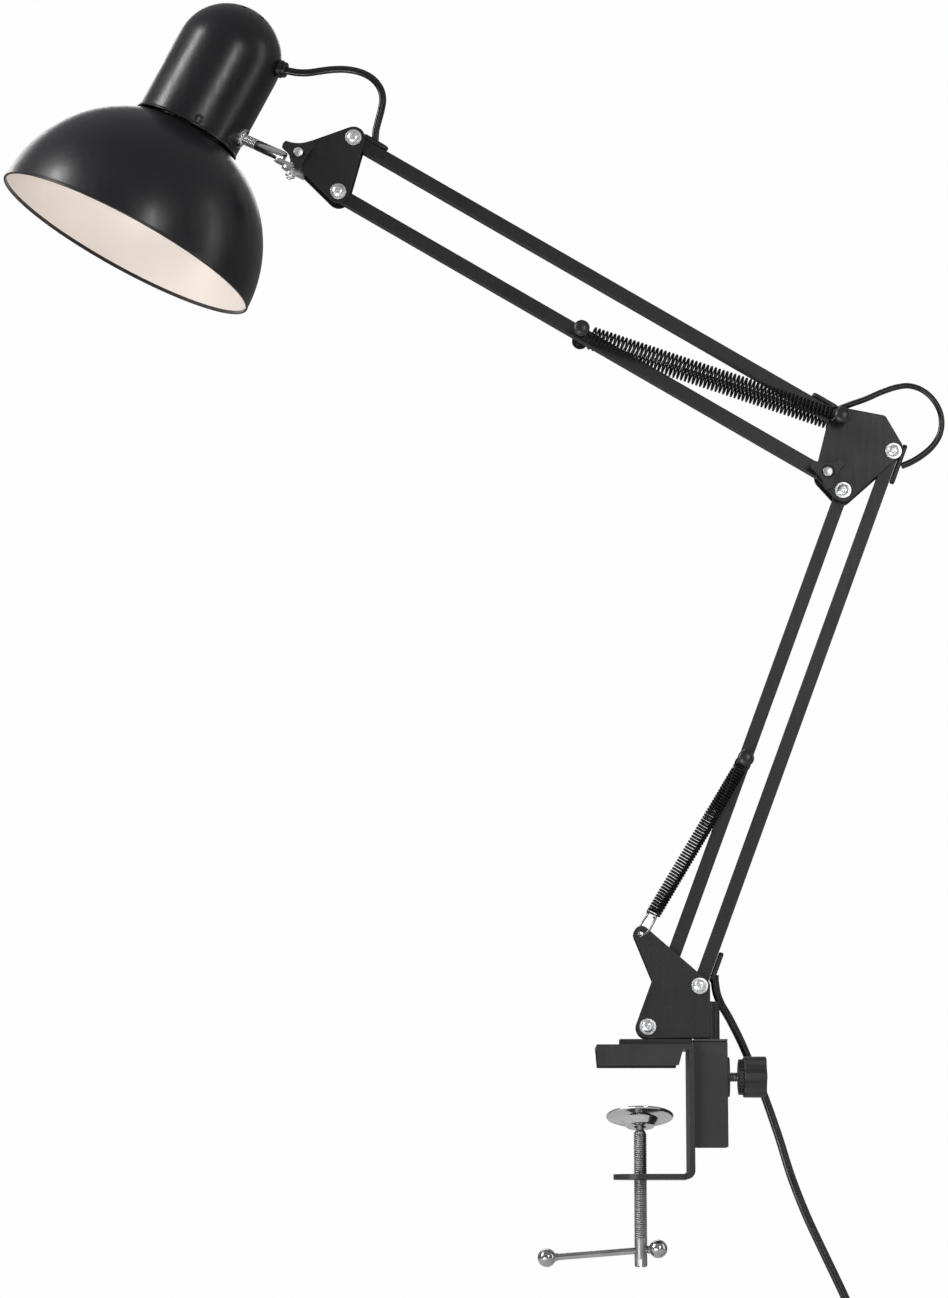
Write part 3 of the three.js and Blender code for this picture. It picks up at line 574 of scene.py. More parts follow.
def turned(name: str, profile: Profile, place: Matrix, sides: int = 48, zones: Sequence[int] = ()) -> Piece:
    """Turns a profile about the local Z axis.

    Args:
        name: The piece's name.
        profile: Radius and height of each step, in millimetres; radius 0 closes a pole.
        place: The local frame.
        sides: Steps round the axis.
        zones: The material index of each step of the profile, where there is more than one.

    Returns:
        The piece, which is closed if the profile starts and ends on the axis or at one point.
    """
    bm = bmesh.new()
    closed = profile[0] == profile[-1] and profile[0][0] > 0
    steps = list(profile[:-1] if closed else profile)
    rings = []
    for radius, height in steps:
        if radius == 0:
            rings.append([bm.verts.new((0, 0, height * MM))])
            continue
        angles = [index / sides * FULL_TURN for index in range(sides)]
        rings.append(
            [bm.verts.new((radius * MM * math.cos(a), radius * MM * math.sin(a), height * MM)) for a in angles]
        )
    pairs = list(zip(rings, rings[1:])) + ([(rings[-1], rings[0])] if closed else [])
    for step, (low, high) in enumerate(pairs):
        for index in range(sides):
            after = (index + 1) % sides
            corners = [
                low[index % len(low)], low[after % len(low)], high[after % len(high)], high[index % len(high)],
            ]
            unique = list(dict.fromkeys(corners))
            if len(unique) > 2:
                face = bm.faces.new(unique)
                face.material_index = zones[step] if zones else 0
    piece = from_bmesh(name, bm)
    return piece.moved(place)


def slab(name: str, outline: Sequence[tuple[float, float]], low: float, high: float, place: Matrix) -> Piece:
    """A plate of an outline in the local XY plane.

    Args:
        name: The piece's name.
        outline: Its corners, in millimetres.
        low: Height of its lower face.
        high: Height of its upper face.
        place: The local frame.

    Returns:
        The piece.
    """
    bm = bmesh.new()
    lower = [bm.verts.new((x * MM, y * MM, low * MM)) for x, y in outline]
    upper = [bm.verts.new((x * MM, y * MM, high * MM)) for x, y in outline]
    bm.faces.new(reversed(lower))
    bm.faces.new(upper)
    for index in range(len(outline)):
        after = (index + 1) % len(outline)
        bm.faces.new((lower[index], lower[after], upper[after], upper[index]))
    return from_bmesh(name, bm).moved(place)


def box_outline(half_x: float, half_y: float) -> list[tuple[float, float]]:
    """The four corners of a rectangle round the origin."""
    return [(-half_x, -half_y), (half_x, -half_y), (half_x, half_y), (-half_x, half_y)]


def rounded_copy(node: str, width: float, finish: Finish, segments: int = 2) -> Piece:
    """A copy of a CAD node with its facets merged and its edges rounded.

    Args:
        node: The CAD node.
        width: Of the rounding, in millimetres.
        finish: Its finish.
        segments: Steps across the rounding.

    Returns:
        The piece, named after the node.
    """
    bm = bmesh.new()
    bm.from_mesh(frame["nodes"][node].data)
    bmesh.ops.remove_doubles(bm, verts=bm.verts, dist=0.00001)
    bmesh.ops.dissolve_limit(bm, angle_limit=math.radians(1), verts=bm.verts, edges=bm.edges)
    mesh = bpy.data.meshes.new(f"{node}_shaped")
    bm.to_mesh(mesh)
    bm.free()
    piece = Piece.new(f"{node}_shaped", mesh)
    return piece.soften(width, segments).dress(finish)


# ---------------------------------------------------------------- swept pieces


def smooth_route(points: Sequence[Vector], step: float) -> list[Vector]:
    """Runs a centripetal curve through points.

    Args:
        points: The points, in metres.
        step: About how far apart the new points are, in metres.

    Returns:
        The points of the curve.
    """
    padded = [points[0] * 2 - points[1], *points, points[-1] * 2 - points[-2]]
    route = [points[0].copy()]
    for before, start, end, after in zip(padded, padded[1:], padded[2:], padded[3:]):
        knots = [0.0]
        for first, second in ((before, start), (start, end), (end, after)):
            knots.append(knots[-1] + math.sqrt(max((second - first).length, 1e-9)))
        count = max(1, round((end - start).length / step))
        for index in range(1, count + 1):
            t = knots[1] + (knots[2] - knots[1]) * index / count
            a1 = before.lerp(start, (t - knots[0]) / (knots[1] - knots[0]))
            a2 = start.lerp(end, (t - knots[1]) / (knots[2] - knots[1]))
            a3 = end.lerp(after, (t - knots[2]) / (knots[3] - knots[2]))
            b1 = a1.lerp(a2, (t - knots[0]) / (knots[2] - knots[0]))
            b2 = a2.lerp(a3, (t - knots[1]) / (knots[3] - knots[1]))
            route.append(b1.lerp(b2, (t - knots[1]) / (knots[2] - knots[1])))
    return route


def route_length(route: Sequence[Vector]) -> float:
    """The length of a route, in metres."""
    return sum((b - a).length for a, b in zip(route, route[1:]))


def twin_section(width: float, thick: float, count: int = 12) -> list[tuple[float, float]]:
    """The outline of a flat twin cord: two round cores side by side with a groove between them.

    Args:
        width: Across both cores, in millimetres.
        thick: Across one core.
        count: Points on each core's outline.

    Returns:
        The outline's points.
    """
    radius = thick / 2
    centre = width / 2 - radius
    opening = math.acos(min(1.0, centre / radius)) * 0.9
    outline = []
    for side, start in ((1, -math.pi + opening), (-1, opening)):
        for index in range(count):
            angle = start + (FULL_TURN - 2 * opening) * index / (count - 1)
            outline.append((side * centre + radius * math.cos(angle), radius * math.sin(angle)))
    return outline


def round_section(radius: float, count: int = 10) -> list[tuple[float, float]]:
    """The outline of a round wire."""
    return [(radius * math.cos(i / count * FULL_TURN), radius * math.sin(i / count * FULL_TURN)) for i in range(count)]


def swept(
    name: str,
    route: Sequence[Vector],
    section: Sequence[tuple[float, float]],
    roll: Callable[[float], float] = lambda share: 0.0,
    grow: Callable[[float], float] = lambda share: 1.0,
    side: Vector = Y_AXIS,
) -> Piece:
    """Sweeps an outline along a route.

    Args:
        name: The piece's name.
        route: The points of its centreline, in metres.
        section: The outline, in millimetres; its first axis lies along side.
        roll: The outline's turn about the route, in radians, at each share of the length.
        grow: The outline's scale at each share of the length.
        side: A direction that the route never runs along.

    Returns:
        The piece, with a UV map whose V is the length in metres.
    """
    bm = bmesh.new()
    uv = bm.loops.layers.uv.new("cord")
    total = route_length(route)
    done, rings, lengths = 0.0, [], []
    for index, point in enumerate(route):
        if index:
            done += (point - route[index - 1]).length
        tangent = (route[min(index + 1, len(route) - 1)] - route[max(index - 1, 0)]).normalized()
        wide = (side - side.dot(tangent) * tangent).normalized()
        thin = tangent.cross(wide)
        angle, scale = roll(done / total), grow(done / total) * MM
        first = wide * math.cos(angle) + thin * math.sin(angle)
        second = thin * math.cos(angle) - wide * math.sin(angle)
        rings.append([bm.verts.new(point + (first * a + second * b) * scale) for a, b in section])
        lengths.append(done)
    count = len(section)
    for index, (low, high) in enumerate(zip(rings, rings[1:])):
        for k in range(count):
            after = (k + 1) % count
            face = bm.faces.new((low[k], low[after], high[after], high[k]))
            around = (k / count, (k + 1) / count, (k + 1) / count, k / count)
            along = (lengths[index], lengths[index], lengths[index + 1], lengths[index + 1])
            for loop, u, v in zip(face.loops, around, along):
                loop[uv].uv = (u, v)
    bm.faces.new(reversed(rings[0]))
    bm.faces.new(rings[-1])
    return from_bmesh(name, bm).smooth(60)


# ---------------------------------------------------------------- geometry node trees


class Recipe:
    """A Geometry Nodes tree with named inputs, whose result becomes a plain mesh."""

    def __init__(self, name: str, inputs: dict[str, str]) -> None:
        """Starts the tree.

        Args:
            name: The tree's name.
            inputs: The kind of each named input socket.
        """
        self.tree = bpy.data.node_groups.new(name, "GeometryNodeTree")
        face = self.tree.interface
        face.new_socket("Geometry", in_out="INPUT", socket_type="NodeSocketGeometry")
        self.sockets = {key: face.new_socket(key, in_out="INPUT", socket_type=kind) for key, kind in inputs.items()}
        self.sockets["Finish"] = face.new_socket("Finish", in_out="INPUT", socket_type="NodeSocketMaterial")
        face.new_socket("Geometry", in_out="OUTPUT", socket_type="NodeSocketGeometry")
        self.input = self.tree.nodes.new("NodeGroupInput")

    def node(self, kind: str, links: dict[str, object] | None = None, **values: object) -> bpy.types.Node:
        """Adds a node.

        Args:
            kind: The node's type.
            links: For each input's name, a socket to link or a value to set.
            **values: Properties by name.

        Returns:
            The node.
        """
        made = self.tree.nodes.new(kind)
        for key, value in values.items():
            setattr(made, key, value)
        for key, value in (links or {}).items():
            socket = made.inputs[key]
            if isinstance(value, bpy.types.NodeSocket):
                self.tree.links.new(value, socket)
            else:
                socket.default_value = value
        return made

    def maths(self, operation: str, first: object, second: object) -> bpy.types.NodeSocket:
        """Adds a Math node and returns its result."""
        made = self.tree.nodes.new("ShaderNodeMath")
        made.operation = operation
        for socket, value in zip(made.inputs, (first, second)):
            if isinstance(value, bpy.types.NodeSocket):
                self.tree.links.new(value, socket)
            else:
                socket.default_value = value
        return made.outputs[0]

    def end(self, geometry: bpy.types.NodeSocket) -> None:
        """Ends the tree with Realize Instances and Set Material."""
        real = self.node("GeometryNodeRealizeInstances", {"Geometry": geometry})
        links = {"Geometry": real.outputs["Geometry"], "Material": self.input.outputs["Finish"]}
        dressed = self.node("GeometryNodeSetMaterial", links)
        output = self.tree.nodes.new("NodeGroupOutput")
        self.tree.links.new(dressed.outputs["Geometry"], output.inputs["Geometry"])

    def make(self, name: str, values: dict[str, object], finish: Finish, start: Piece | None = None) -> Piece:
        """Runs the tree.

        Args:
            name: The new piece's name.
            values: The inputs' values by name.
            finish: The finish of what the tree makes.
            start: A piece that the tree works on, if it needs one.

        Returns:
            The result as a piece with a plain mesh.
        """
        piece = start or Piece.new(name, bpy.data.meshes.new(name))
        modifier = piece.obj.modifiers.new(self.tree.name, "NODES")
        modifier.node_group = self.tree
        for key, value in {**values, "Finish": finish.material()}.items():
            modifier[self.sockets[key].identifier] = value
        return piece.settle()


def coil_recipe() -> Recipe:
    """A wire wound in a helix along +Z, for springs and for the ridges of threads."""
    recipe = Recipe(
        "wound_wire",
        {
            "Turns": "NodeSocketFloat",
            "Steps": "NodeSocketInt",
            "Coil Radius": "NodeSocketFloat",
            "Height": "NodeSocketFloat",
            "Wire Radius": "NodeSocketFloat",
            "Wire Sides": "NodeSocketInt",
        },
    )
    given = recipe.input.outputs
    spiral = recipe.node(
        "GeometryNodeCurveSpiral",
        {
            "Resolution": given["Steps"],
            "Rotations": given["Turns"],
            "Start Radius": given["Coil Radius"],
            "End Radius": given["Coil Radius"],
            "Height": given["Height"],
        },
    )
    ring = recipe.node(
        "GeometryNodeCurvePrimitiveCircle", {"Resolution": given["Wire Sides"], "Radius": given["Wire Radius"]}
    )
    sweep = recipe.node(
        "GeometryNodeCurveToMesh",
        {"Curve": spiral.outputs["Curve"], "Profile Curve": ring.outputs["Curve"], "Fill Caps": True},
    )
    recipe.end(sweep.outputs["Mesh"])
    return recipe


def turn_per_item(recipe: Recipe, count: bpy.types.NodeSocket, tilt: object) -> bpy.types.NodeSocket:
    """The rotation of each of a ring's items: a tilt about Y, then a share of a turn about Z."""
    index = recipe.node("GeometryNodeInputIndex").outputs["Index"]
    azimuth = recipe.maths("DIVIDE", recipe.maths("MULTIPLY", index, FULL_TURN), count)
    return recipe.node("ShaderNodeCombineXYZ", {"Y": tilt, "Z": azimuth}).outputs["Vector"]


def tooth_recipe() -> Recipe:
    """A ring of blocks round the Z axis, for serrations and grip ribs."""
    recipe = Recipe(
        "ring_of_teeth", {"Count": "NodeSocketInt", "Ring Radius": "NodeSocketFloat", "Tooth": "NodeSocketVector"}
    )
    given = recipe.input.outputs
    ring = recipe.node("GeometryNodeMeshCircle", {"Vertices": given["Count"], "Radius": given["Ring Radius"]})
    tooth = recipe.node("GeometryNodeMeshCube", {"Size": given["Tooth"]})
    stand = recipe.node(
        "GeometryNodeInstanceOnPoints",
        {
            "Points": ring.outputs["Mesh"],
            "Instance": tooth.outputs["Mesh"],
            "Rotation": turn_per_item(recipe, given["Count"], 0.0),
        },
    )
    recipe.end(stand.outputs["Instances"])
    return recipe


def vent_recipe() -> Recipe:
    """Round holes drilled through a shell on a ring about the Z axis."""
    recipe = Recipe(
        "ring_of_vents",
        {
            "Count": "NodeSocketInt",
            "Hole Radius": "NodeSocketFloat",
            "Depth": "NodeSocketFloat",
            "Ring Radius": "NodeSocketFloat",
            "Ring Height": "NodeSocketFloat",
            "Tilt": "NodeSocketFloat",
        },
    )
    given = recipe.input.outputs
    ring = recipe.node("GeometryNodeMeshCircle", {"Vertices": given["Count"], "Radius": given["Ring Radius"]})
    lift = recipe.node("ShaderNodeCombineXYZ", {"Z": given["Ring Height"]})
    raised = recipe.node(
        "GeometryNodeSetPosition", {"Geometry": ring.outputs["Mesh"], "Offset": lift.outputs["Vector"]}
    )
    drill = recipe.node(
        "GeometryNodeMeshCylinder", {"Vertices": 20, "Radius": given["Hole Radius"], "Depth": given["Depth"]}
    )
    stand = recipe.node(
        "GeometryNodeInstanceOnPoints",
        {
            "Points": raised.outputs["Geometry"],
            "Instance": drill.outputs["Mesh"],
            "Rotation": turn_per_item(recipe, given["Count"], given["Tilt"]),
        },
    )
    real = recipe.node("GeometryNodeRealizeInstances", {"Geometry": stand.outputs["Instances"]})
    drilled = recipe.node(
        "GeometryNodeMeshBoolean",
        {"Mesh 1": given["Geometry"], "Mesh 2": real.outputs["Geometry"]},
        operation="DIFFERENCE",
        solver="EXACT",
    )
    recipe.end(drilled.outputs["Mesh"])
    return recipe


@dataclass
class Toolbox:
    """The recipes that several sub-assemblies share."""

    coil: Recipe = field(default_factory=coil_recipe)
    teeth: Recipe = field(default_factory=tooth_recipe)
    vents: Recipe = field(default_factory=vent_recipe)

    def helix(
        self, name: str, turns: float, coil: float, height: float, wire: float, place: Matrix, finish: Finish,
        steps: int = 18, sides: int = 6,
    ) -> Piece:
        """A wound wire.

        Args:
            name: The piece's name.
            turns: How many times it goes round.
            coil: Radius of the coil to the wire's middle, in millimetres.
            height: From its start to its end, in millimetres.
            wire: Radius of the wire, in millimetres.
            place: Its frame; it winds along +Z from the origin.
            finish: Its finish.
            steps: Points in each turn.
            sides: Sides of the wire.

        Returns:
            The piece.
        """
        values = {
            "Turns": float(turns),
            "Steps": steps,
            "Coil Radius": coil * MM,
            "Height": height * MM,
            "Wire Radius": wire * MM,
            "Wire Sides": sides,
        }
        return self.coil.make(name, values, finish).moved(place).smooth(75)

    def thread(self, name: str, radius: float, pitch: float, height: float, place: Matrix, finish: Finish) -> Piece:
        """The ridge of a screw thread.

        Args:
            name: The piece's name.
            radius: Of the thread's crest, in millimetres.
            pitch: From crest to crest.
            height: Length of thread.
            place: Its frame; the thread runs along +Z from the origin.
            finish: Its finish.

        Returns:
            The piece.
        """
        ridge = pitch * 0.45
        return self.helix(name, height / pitch, radius - ridge, height, ridge, place, finish, 20, 6)


# ---------------------------------------------------------------- places read from the frame

JOINTS = {joint["name"]: joint for joint in frame["joints"]}


def joint_at(name: str) -> Vector:
    """Where a hinge's axis stands, in metres."""
    return Vector(JOINTS[name]["pos_m"])


def middle(node: str) -> Vector:
    """The middle of a CAD node's box."""
    low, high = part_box(node)
    return (low + high) / 2


BASE_SPRING_PIVOT = joint_at("lower_spring_arm_tilt")
ELBOW_STUD = joint_at("upper_arm_tilt")
ELBOW_TENSION = joint_at("upper_spring_arm_tilt")
KNUCKLE = joint_at("head_tilt")
SWING_POINT = joint_at("head_swing")
SWING_AXIS = Vector(JOINTS["head_swing"]["axis"])
HEAD_SWING = math.radians(10)  # of the rod out of the arms' plane, as the lamp is set here


def head_place() -> Matrix:
    """The head's frame: +Z along the shade's axis, +X along the rod towards the arms."""
    straight = Y_AXIS.cross(SWING_AXIS)
    turned_x = Matrix.Rotation(-HEAD_SWING, 3, SWING_AXIS) @ straight
    return placed(SWING_POINT, SWING_AXIS, turned_x)


HEAD = head_place()
YOKE = placed(SWING_POINT, SWING_AXIS, Y_AXIS.cross(SWING_AXIS))


def sampled_arc(
    radius: float, start: float, end: float, steps: int, height: float = 0.0
) -> list[tuple[float, float]]:
    """Points of an arc for a profile.

    Args:
        radius: Of the arc, in millimetres.
        start: First angle above the local XY plane, in degrees.
        end: Last angle.
        steps: How many steps it takes.
        height: Of its centre.

    Returns:
        Radius and height of each point; a point on the axis gets radius 0.
    """
    angles = [math.radians(start + (end - start) * index / steps) for index in range(steps + 1)]
    points = [(radius * math.cos(angle), height + radius * math.sin(angle)) for angle in angles]
    return [(0.0 if abs(r) < 1e-6 else r, z) for r, z in points]


def belt(discs: Sequence[tuple[float, float, float]], count: int = 24) -> list[tuple[float, float]]:
    """The outline of a belt round discs.

    Args:
        discs: Centre and radius of each, in millimetres.
        count: Points on each disc.

    Returns:
        The hull of the discs' points, anticlockwise.
    """
    cloud = sorted(
        {
            (round(x + r * math.cos(i / count * FULL_TURN), 5), round(y + r * math.sin(i / count * FULL_TURN), 5))
            for x, y, r in discs
            for i in range(count)
        }
    )

    def half(points: Sequence[tuple[float, float]]) -> list[tuple[float, float]]:
        """One side of the hull."""
        kept: list[tuple[float, float]] = []
        for point in points:
            while len(kept) > 1:
                (ax, ay), (bx, by) = kept[-2], kept[-1]
                if (bx - ax) * (point[1] - ay) - (by - ay) * (point[0] - ax) > 0:
                    break
                kept.pop()
            kept.append(point)
        return kept[:-1]

    return half(cloud) + half(cloud[::-1])


# ---------------------------------------------------------------- studio


@dataclass
class Studio:
    """A plain pale floor, soft lights and the camera."""

    floor_height: float = -0.33
    floor_radius: float = 2.5

    def build(self) -> None:
        """Makes the camera, the world, the lights and the floor."""
        self.camera()
        self.world()
        self.light("left_softbox", (-2.1, -0.75, 1.45), (0.5, 1.5), 38)
        self.light("front_softbox", (0.75, -2.1, 0.7), (0.3, 0.9), 9)
        self.light("right_strip", (1.6, -0.3, 0.6), (0.3, 1.5), 4)
        self.light("rim_strip", (-0.5, 1.5, 1.3), (1.6, 0.4), 6)
        self.light("shade_fill", (-0.62, -0.95, -0.3), (0.6, 0.3), 8.5)
        self.floor()

    def camera(self) -> None:
        """A long lens a little below the lamp's middle, tipped up."""
        data = bpy.data.cameras.new("camera")
        data.lens = 106.7
        data.sensor_width = 36
        data.clip_end = 60
        obj = bpy.data.objects.new("camera", data)
        obj.location = (-0.0987, -2.303, -0.112)
        obj.rotation_euler = (math.radians(98.98), 0, 0)
        bpy.context.scene.collection.objects.link(obj)
        bpy.context.scene.camera = obj

    def world(self) -> None:
        """A white room for the eye, and a darker one with a bright ceiling for the reflections."""
        world = bpy.data.worlds.new("studio")
        world.use_nodes = True
        tree = world.node_tree
        tree.nodes.clear()
        make, join = tree.nodes.new, tree.links.new
        direction = make("ShaderNodeTexCoord").outputs["Generated"]
        height = make("ShaderNodeSeparateXYZ")
        join(direction, height.inputs[0])
        ramp = make("ShaderNodeValToRGB")
        ramp.color_ramp.elements[0].position = 0.0
        ramp.color_ramp.elements[0].color = (0.05, 0.05, 0.05, 1)
        ramp.color_ramp.elements[1].position = 0.75
        ramp.color_ramp.elements[1].color = (0.3, 0.3, 0.31, 1)
        shift = make("ShaderNodeMapRange")
        shift.inputs["From Min"].default_value = -0.5
        join(height.outputs["Z"], shift.inputs["Value"])
        join(shift.outputs["Result"], ramp.inputs["Fac"])
        seen = make("ShaderNodeBackground")
        seen.inputs["Color"].default_value = (0.99, 0.99, 0.99, 1)
        around = make("ShaderNodeBackground")
        join(ramp.outputs["Color"], around.inputs["Color"])
        choose = make("ShaderNodeMixShader")
        join(make("ShaderNodeLightPath").outputs["Is Camera Ray"], choose.inputs["Fac"])
        join(around.outputs[0], choose.inputs[1])
        join(seen.outputs[0], choose.inputs[2])
        join(choose.outputs[0], make("ShaderNodeOutputWorld").inputs["Surface"])
        bpy.context.scene.world = world
        bpy.context.scene.view_settings.view_transform = "Standard"

    def light(self, name: str, place: Point, size: tuple[float, float], watts: float) -> None:
        """A soft rectangular light that faces the lamp's middle.

        Args:
            name: The light's name.
            place: Where it stands, in metres.
            size: Its width and height.
            watts: Its power.
        """
        data = bpy.data.lights.new(name, "AREA")
        data.shape = "RECTANGLE"
        data.size, data.size_y = size
        data.energy = watts
        obj = bpy.data.objects.new(name, data)
        obj.location = place
        aim = Vector((-0.06, 0, 0.3)) - Vector(place)
        obj.rotation_euler = aim.to_track_quat("-Z", "Y").to_euler()
        bpy.context.scene.collection.objects.link(obj)

    def floor(self) -> None:
        """A wide pale disc below the hanging coil."""
        profile = [(0, -4), (self.floor_radius / MM, -4), (self.floor_radius / MM, 0), (0, 0)]
        disc = turned("studio_floor", profile, Matrix.Translation((0, 0, self.floor_height)), 96)
        disc.dress(Paint("studio_floor_paint", (0.8, 0.8, 0.79), 0.7, 0.0001, 0.0, 0.015))


# ---------------------------------------------------------------- cords


@dataclass
class Cords:
    """The flat twin cord: two short loops past the joints, and the lead with its switch, coil and plug."""

    width: float = 5.2
    thick: float = 3.4
    step: float = 0.002

    @property
    def section(self) -> list[tuple[float, float]]:
        """The outline of the cord."""
        return twin_section(self.width, self.thick)

    def declare(self, route: Sequence[Vector]) -> None:
        """Works out a route's start, length and points, and keeps none of them.

        Args:
            route: Its centreline.
        """
        tuple(route[0])
        route_length(route)
        [tuple(point) for point in route]

    def loop(
        self, name: str, node: str, points: Sequence[Point], bodies: Sequence[Body], rolls: tuple[float, float]
    ) -> None:
        """A loop that crosses one joint with each of its pieces.

        Args:
            name: Start of the pieces' names.
            node: The CAD node that they stand for.
            points: Its centreline, in metres.
            bodies: The bodies it passes, one more than its pieces.
            rolls: The flat side's turn at its start and end, in degrees.
        """
        route = smooth_route([Vector(point) for point in points], self.step)
        count = len(bodies) - 1
        for index in range(count):
            first, last = index * (len(route) - 1) // count, (index + 1) * (len(route) - 1) // count
            share = route[first : last + 1]
            starts = [math.radians(rolls[0] + (rolls[1] - rolls[0]) * (index + k) / count) for k in (0, 1)]
            piece = swept(
                f"{name}_{index + 1}",
                share,
                self.section,
                roll=lambda part, ends=starts: ends[0] + (ends[1] - ends[0]) * part,
            )
            piece.dress(CORD_BLACK)
            piece.bend(bodies[index], bodies[index + 1], (share[0], share[-1]), Slot.CORD, *([] if index else [node]))
            self.declare(share)

    def lead_route(self) -> tuple[list[Vector], float]:
        """The lead's centreline: down to the switch, through it, round the coil and on to the plug.

        Returns:
            The route and how far along it the coil starts, in metres.
        """
        hanging = [
            (0.0452, 0, 0.0545), (0.0452, 0.0001, 0.0515), (0.0456, 0.0006, 0.0482), (0.0466, 0.003, 0.0435),
            (0.0494, 0.008, 0.0375), (0.0546, 0.014, 0.0295),
            (0.0614, 0.02, 0.017), (0.0676, 0.0245, 0.0035), (0.0749, 0.027, -0.013), (0.084, 0.028, -0.039),
            (0.0918, 0.028, -0.0645), (0.1006, 0.028, -0.0875), (0.1088, 0.028, -0.1055), (0.1175, 0.028, -0.124),
            (0.123, 0.028, -0.136), (0.1265, 0.028, -0.1446), (0.1273, 0.028, -0.155), (0.1273, 0.028, -0.178),
            (0.1273, 0.028, -0.2), (0.127, 0.0278, -0.205), (0.1255, 0.027, -0.2092), (0.1225, 0.0262, -0.2128),
            (0.1185, 0.0255, -0.216), (0.115, 0.0252, -0.219),
        ]
        leaving = [
            (0.1345, 0.0314, -0.209), (0.1285, 0.0317, -0.2092), (0.12, 0.0314, -0.2105), (0.1125, 0.0303, -0.213),
            (0.105, 0.0295, -0.217), (0.0982, 0.029, -0.223), (0.094, 0.0285, -0.2305), (0.092, 0.028, -0.239),
            (0.0916, 0.028, -0.2475), (0.0915, 0.028, -0.256),
        ]
        down = smooth_route([*map(Vector, hanging), self.coil_point(0.0)], self.step)
        turns = 5.861
        count = 290
        wound = [self.coil_point(turns * index / count) for index in range(count + 1)]
        out = smooth_route([wound[-1], *map(Vector, leaving)], self.step)
        return [*down[:-1], *wound, *out[1:]], route_length(down)

    def coil_point(self, turn: float) -> Vector:
        """A point of the coil: inwards in its front column, then outwards in its back one.

        Args:
            turn: Turns from its start.

        Returns:
            The point.
        """
        centre, outer, pitch, run, change = at(139, 28, -244.5), 35.3, 3.6, 2.8, 0.261
        angle = math.radians(140) + turn * FULL_TURN
        if turn < run:
            radius, share = outer - pitch * turn, 0.0
        elif turn < run + change:
            radius, share = outer - pitch * run, (turn - run) / change
        else:
            radius, share = outer - pitch * run + pitch * (turn - run - change), 1.0
        depth = -2.9 + 5.8 * share * share * (3 - 2 * share)
        return centre + at(radius * math.cos(angle), depth, radius * math.sin(angle))

    def lead(self, others: Sequence[Piece]) -> None:
        """The lead, in one length from the base to the plug.

        Args:
            others: The switch, strain reliefs, tie and plug on it; not used.
        """
        route, coil_start = self.lead_route()
        total = route_length(route)
        turns = [
            (0.0, 75.0), (0.07, 55.0), (0.15, 80.0), (coil_start - 0.045, 90.0), (coil_start, 0.0), (total, 0.0),
        ]

        def roll(share: float) -> float:
            """The flat side's turn at a share of the length."""
            done = share * total
            for (low, first), (high, second) in zip(turns, turns[1:]):
                if done <= high:
                    part = (done - low) / (high - low)
                    return math.radians(first + (second - first) * part * part * (3 - 2 * part))
            return 0.0

        piece = swept("lead", route, self.section, roll=roll).dress(CORD_BLACK)
        nodes = ("lead_cord", "lead_tail", "lead_coil", "plug_cord")
        piece.bend(Body.LOWER_CORD_ARM, Body.BASE, (Vector(route[0]), at(56, 15, 27)), Slot.CORD, *nodes)
        self.declare(route)

    def build(self, others: Sequence[Piece]) -> None:
        """Makes all the cords.

        Args:
            others: The pieces on the lead; not used.
        """
        self.lead(others)
        elbow_loop = [
            (0.1222, 0, 0.3992), (0.1258, 0, 0.4012), (0.1319, 0, 0.4036), (0.1411, 0, 0.4069), (0.151, 0, 0.4113),
            (0.1596, 0, 0.4142), (0.1675, 0, 0.4152), (0.1753, 0, 0.4128), (0.1817, 0, 0.4075), (0.1862, 0, 0.3998),
            (0.1874, 0, 0.3922), (0.1859, 0, 0.3844), (0.1811, 0, 0.377), (0.1746, 0, 0.3714), (0.1676, 0, 0.3672),
            (0.1625, 0, 0.3651),
        ]
        bodies = (Body.UPPER_CORD_ARM, Body.ELBOW, Body.LOWER_CORD_ARM)
        self.loop("elbow_loop", "elbow_cord", elbow_loop, bodies, (20, 10))
        head_loop = [
            (-0.2175, 0.0061, 0.6173), (-0.2144, 0.0059, 0.6171), (-0.2096, 0.0055, 0.616), (-0.202, 0.0049, 0.6156),
            (-0.1952, 0.0044, 0.6164), (-0.1865, 0.0034, 0.6172), (-0.177, 0.0024, 0.6168), (-0.1686, 0.0015, 0.6146),
            (-0.1616, 0.0008, 0.6104), (-0.1569, 0.0003, 0.6042), (-0.1553, 0, 0.5974), (-0.1563, 0, 0.59),
            (-0.1583, 0, 0.582), (-0.1594, 0, 0.5774), (-0.1598, 0, 0.571), (-0.16, 0, 0.568),
        ]
        bodies = (Body.LAMP_HEAD, Body.YOKE, Body.HEAD_BRACKET, Body.UPPER_CORD_ARM)
        self.loop("head_loop", "head_cord", head_loop, bodies, (65, 30))


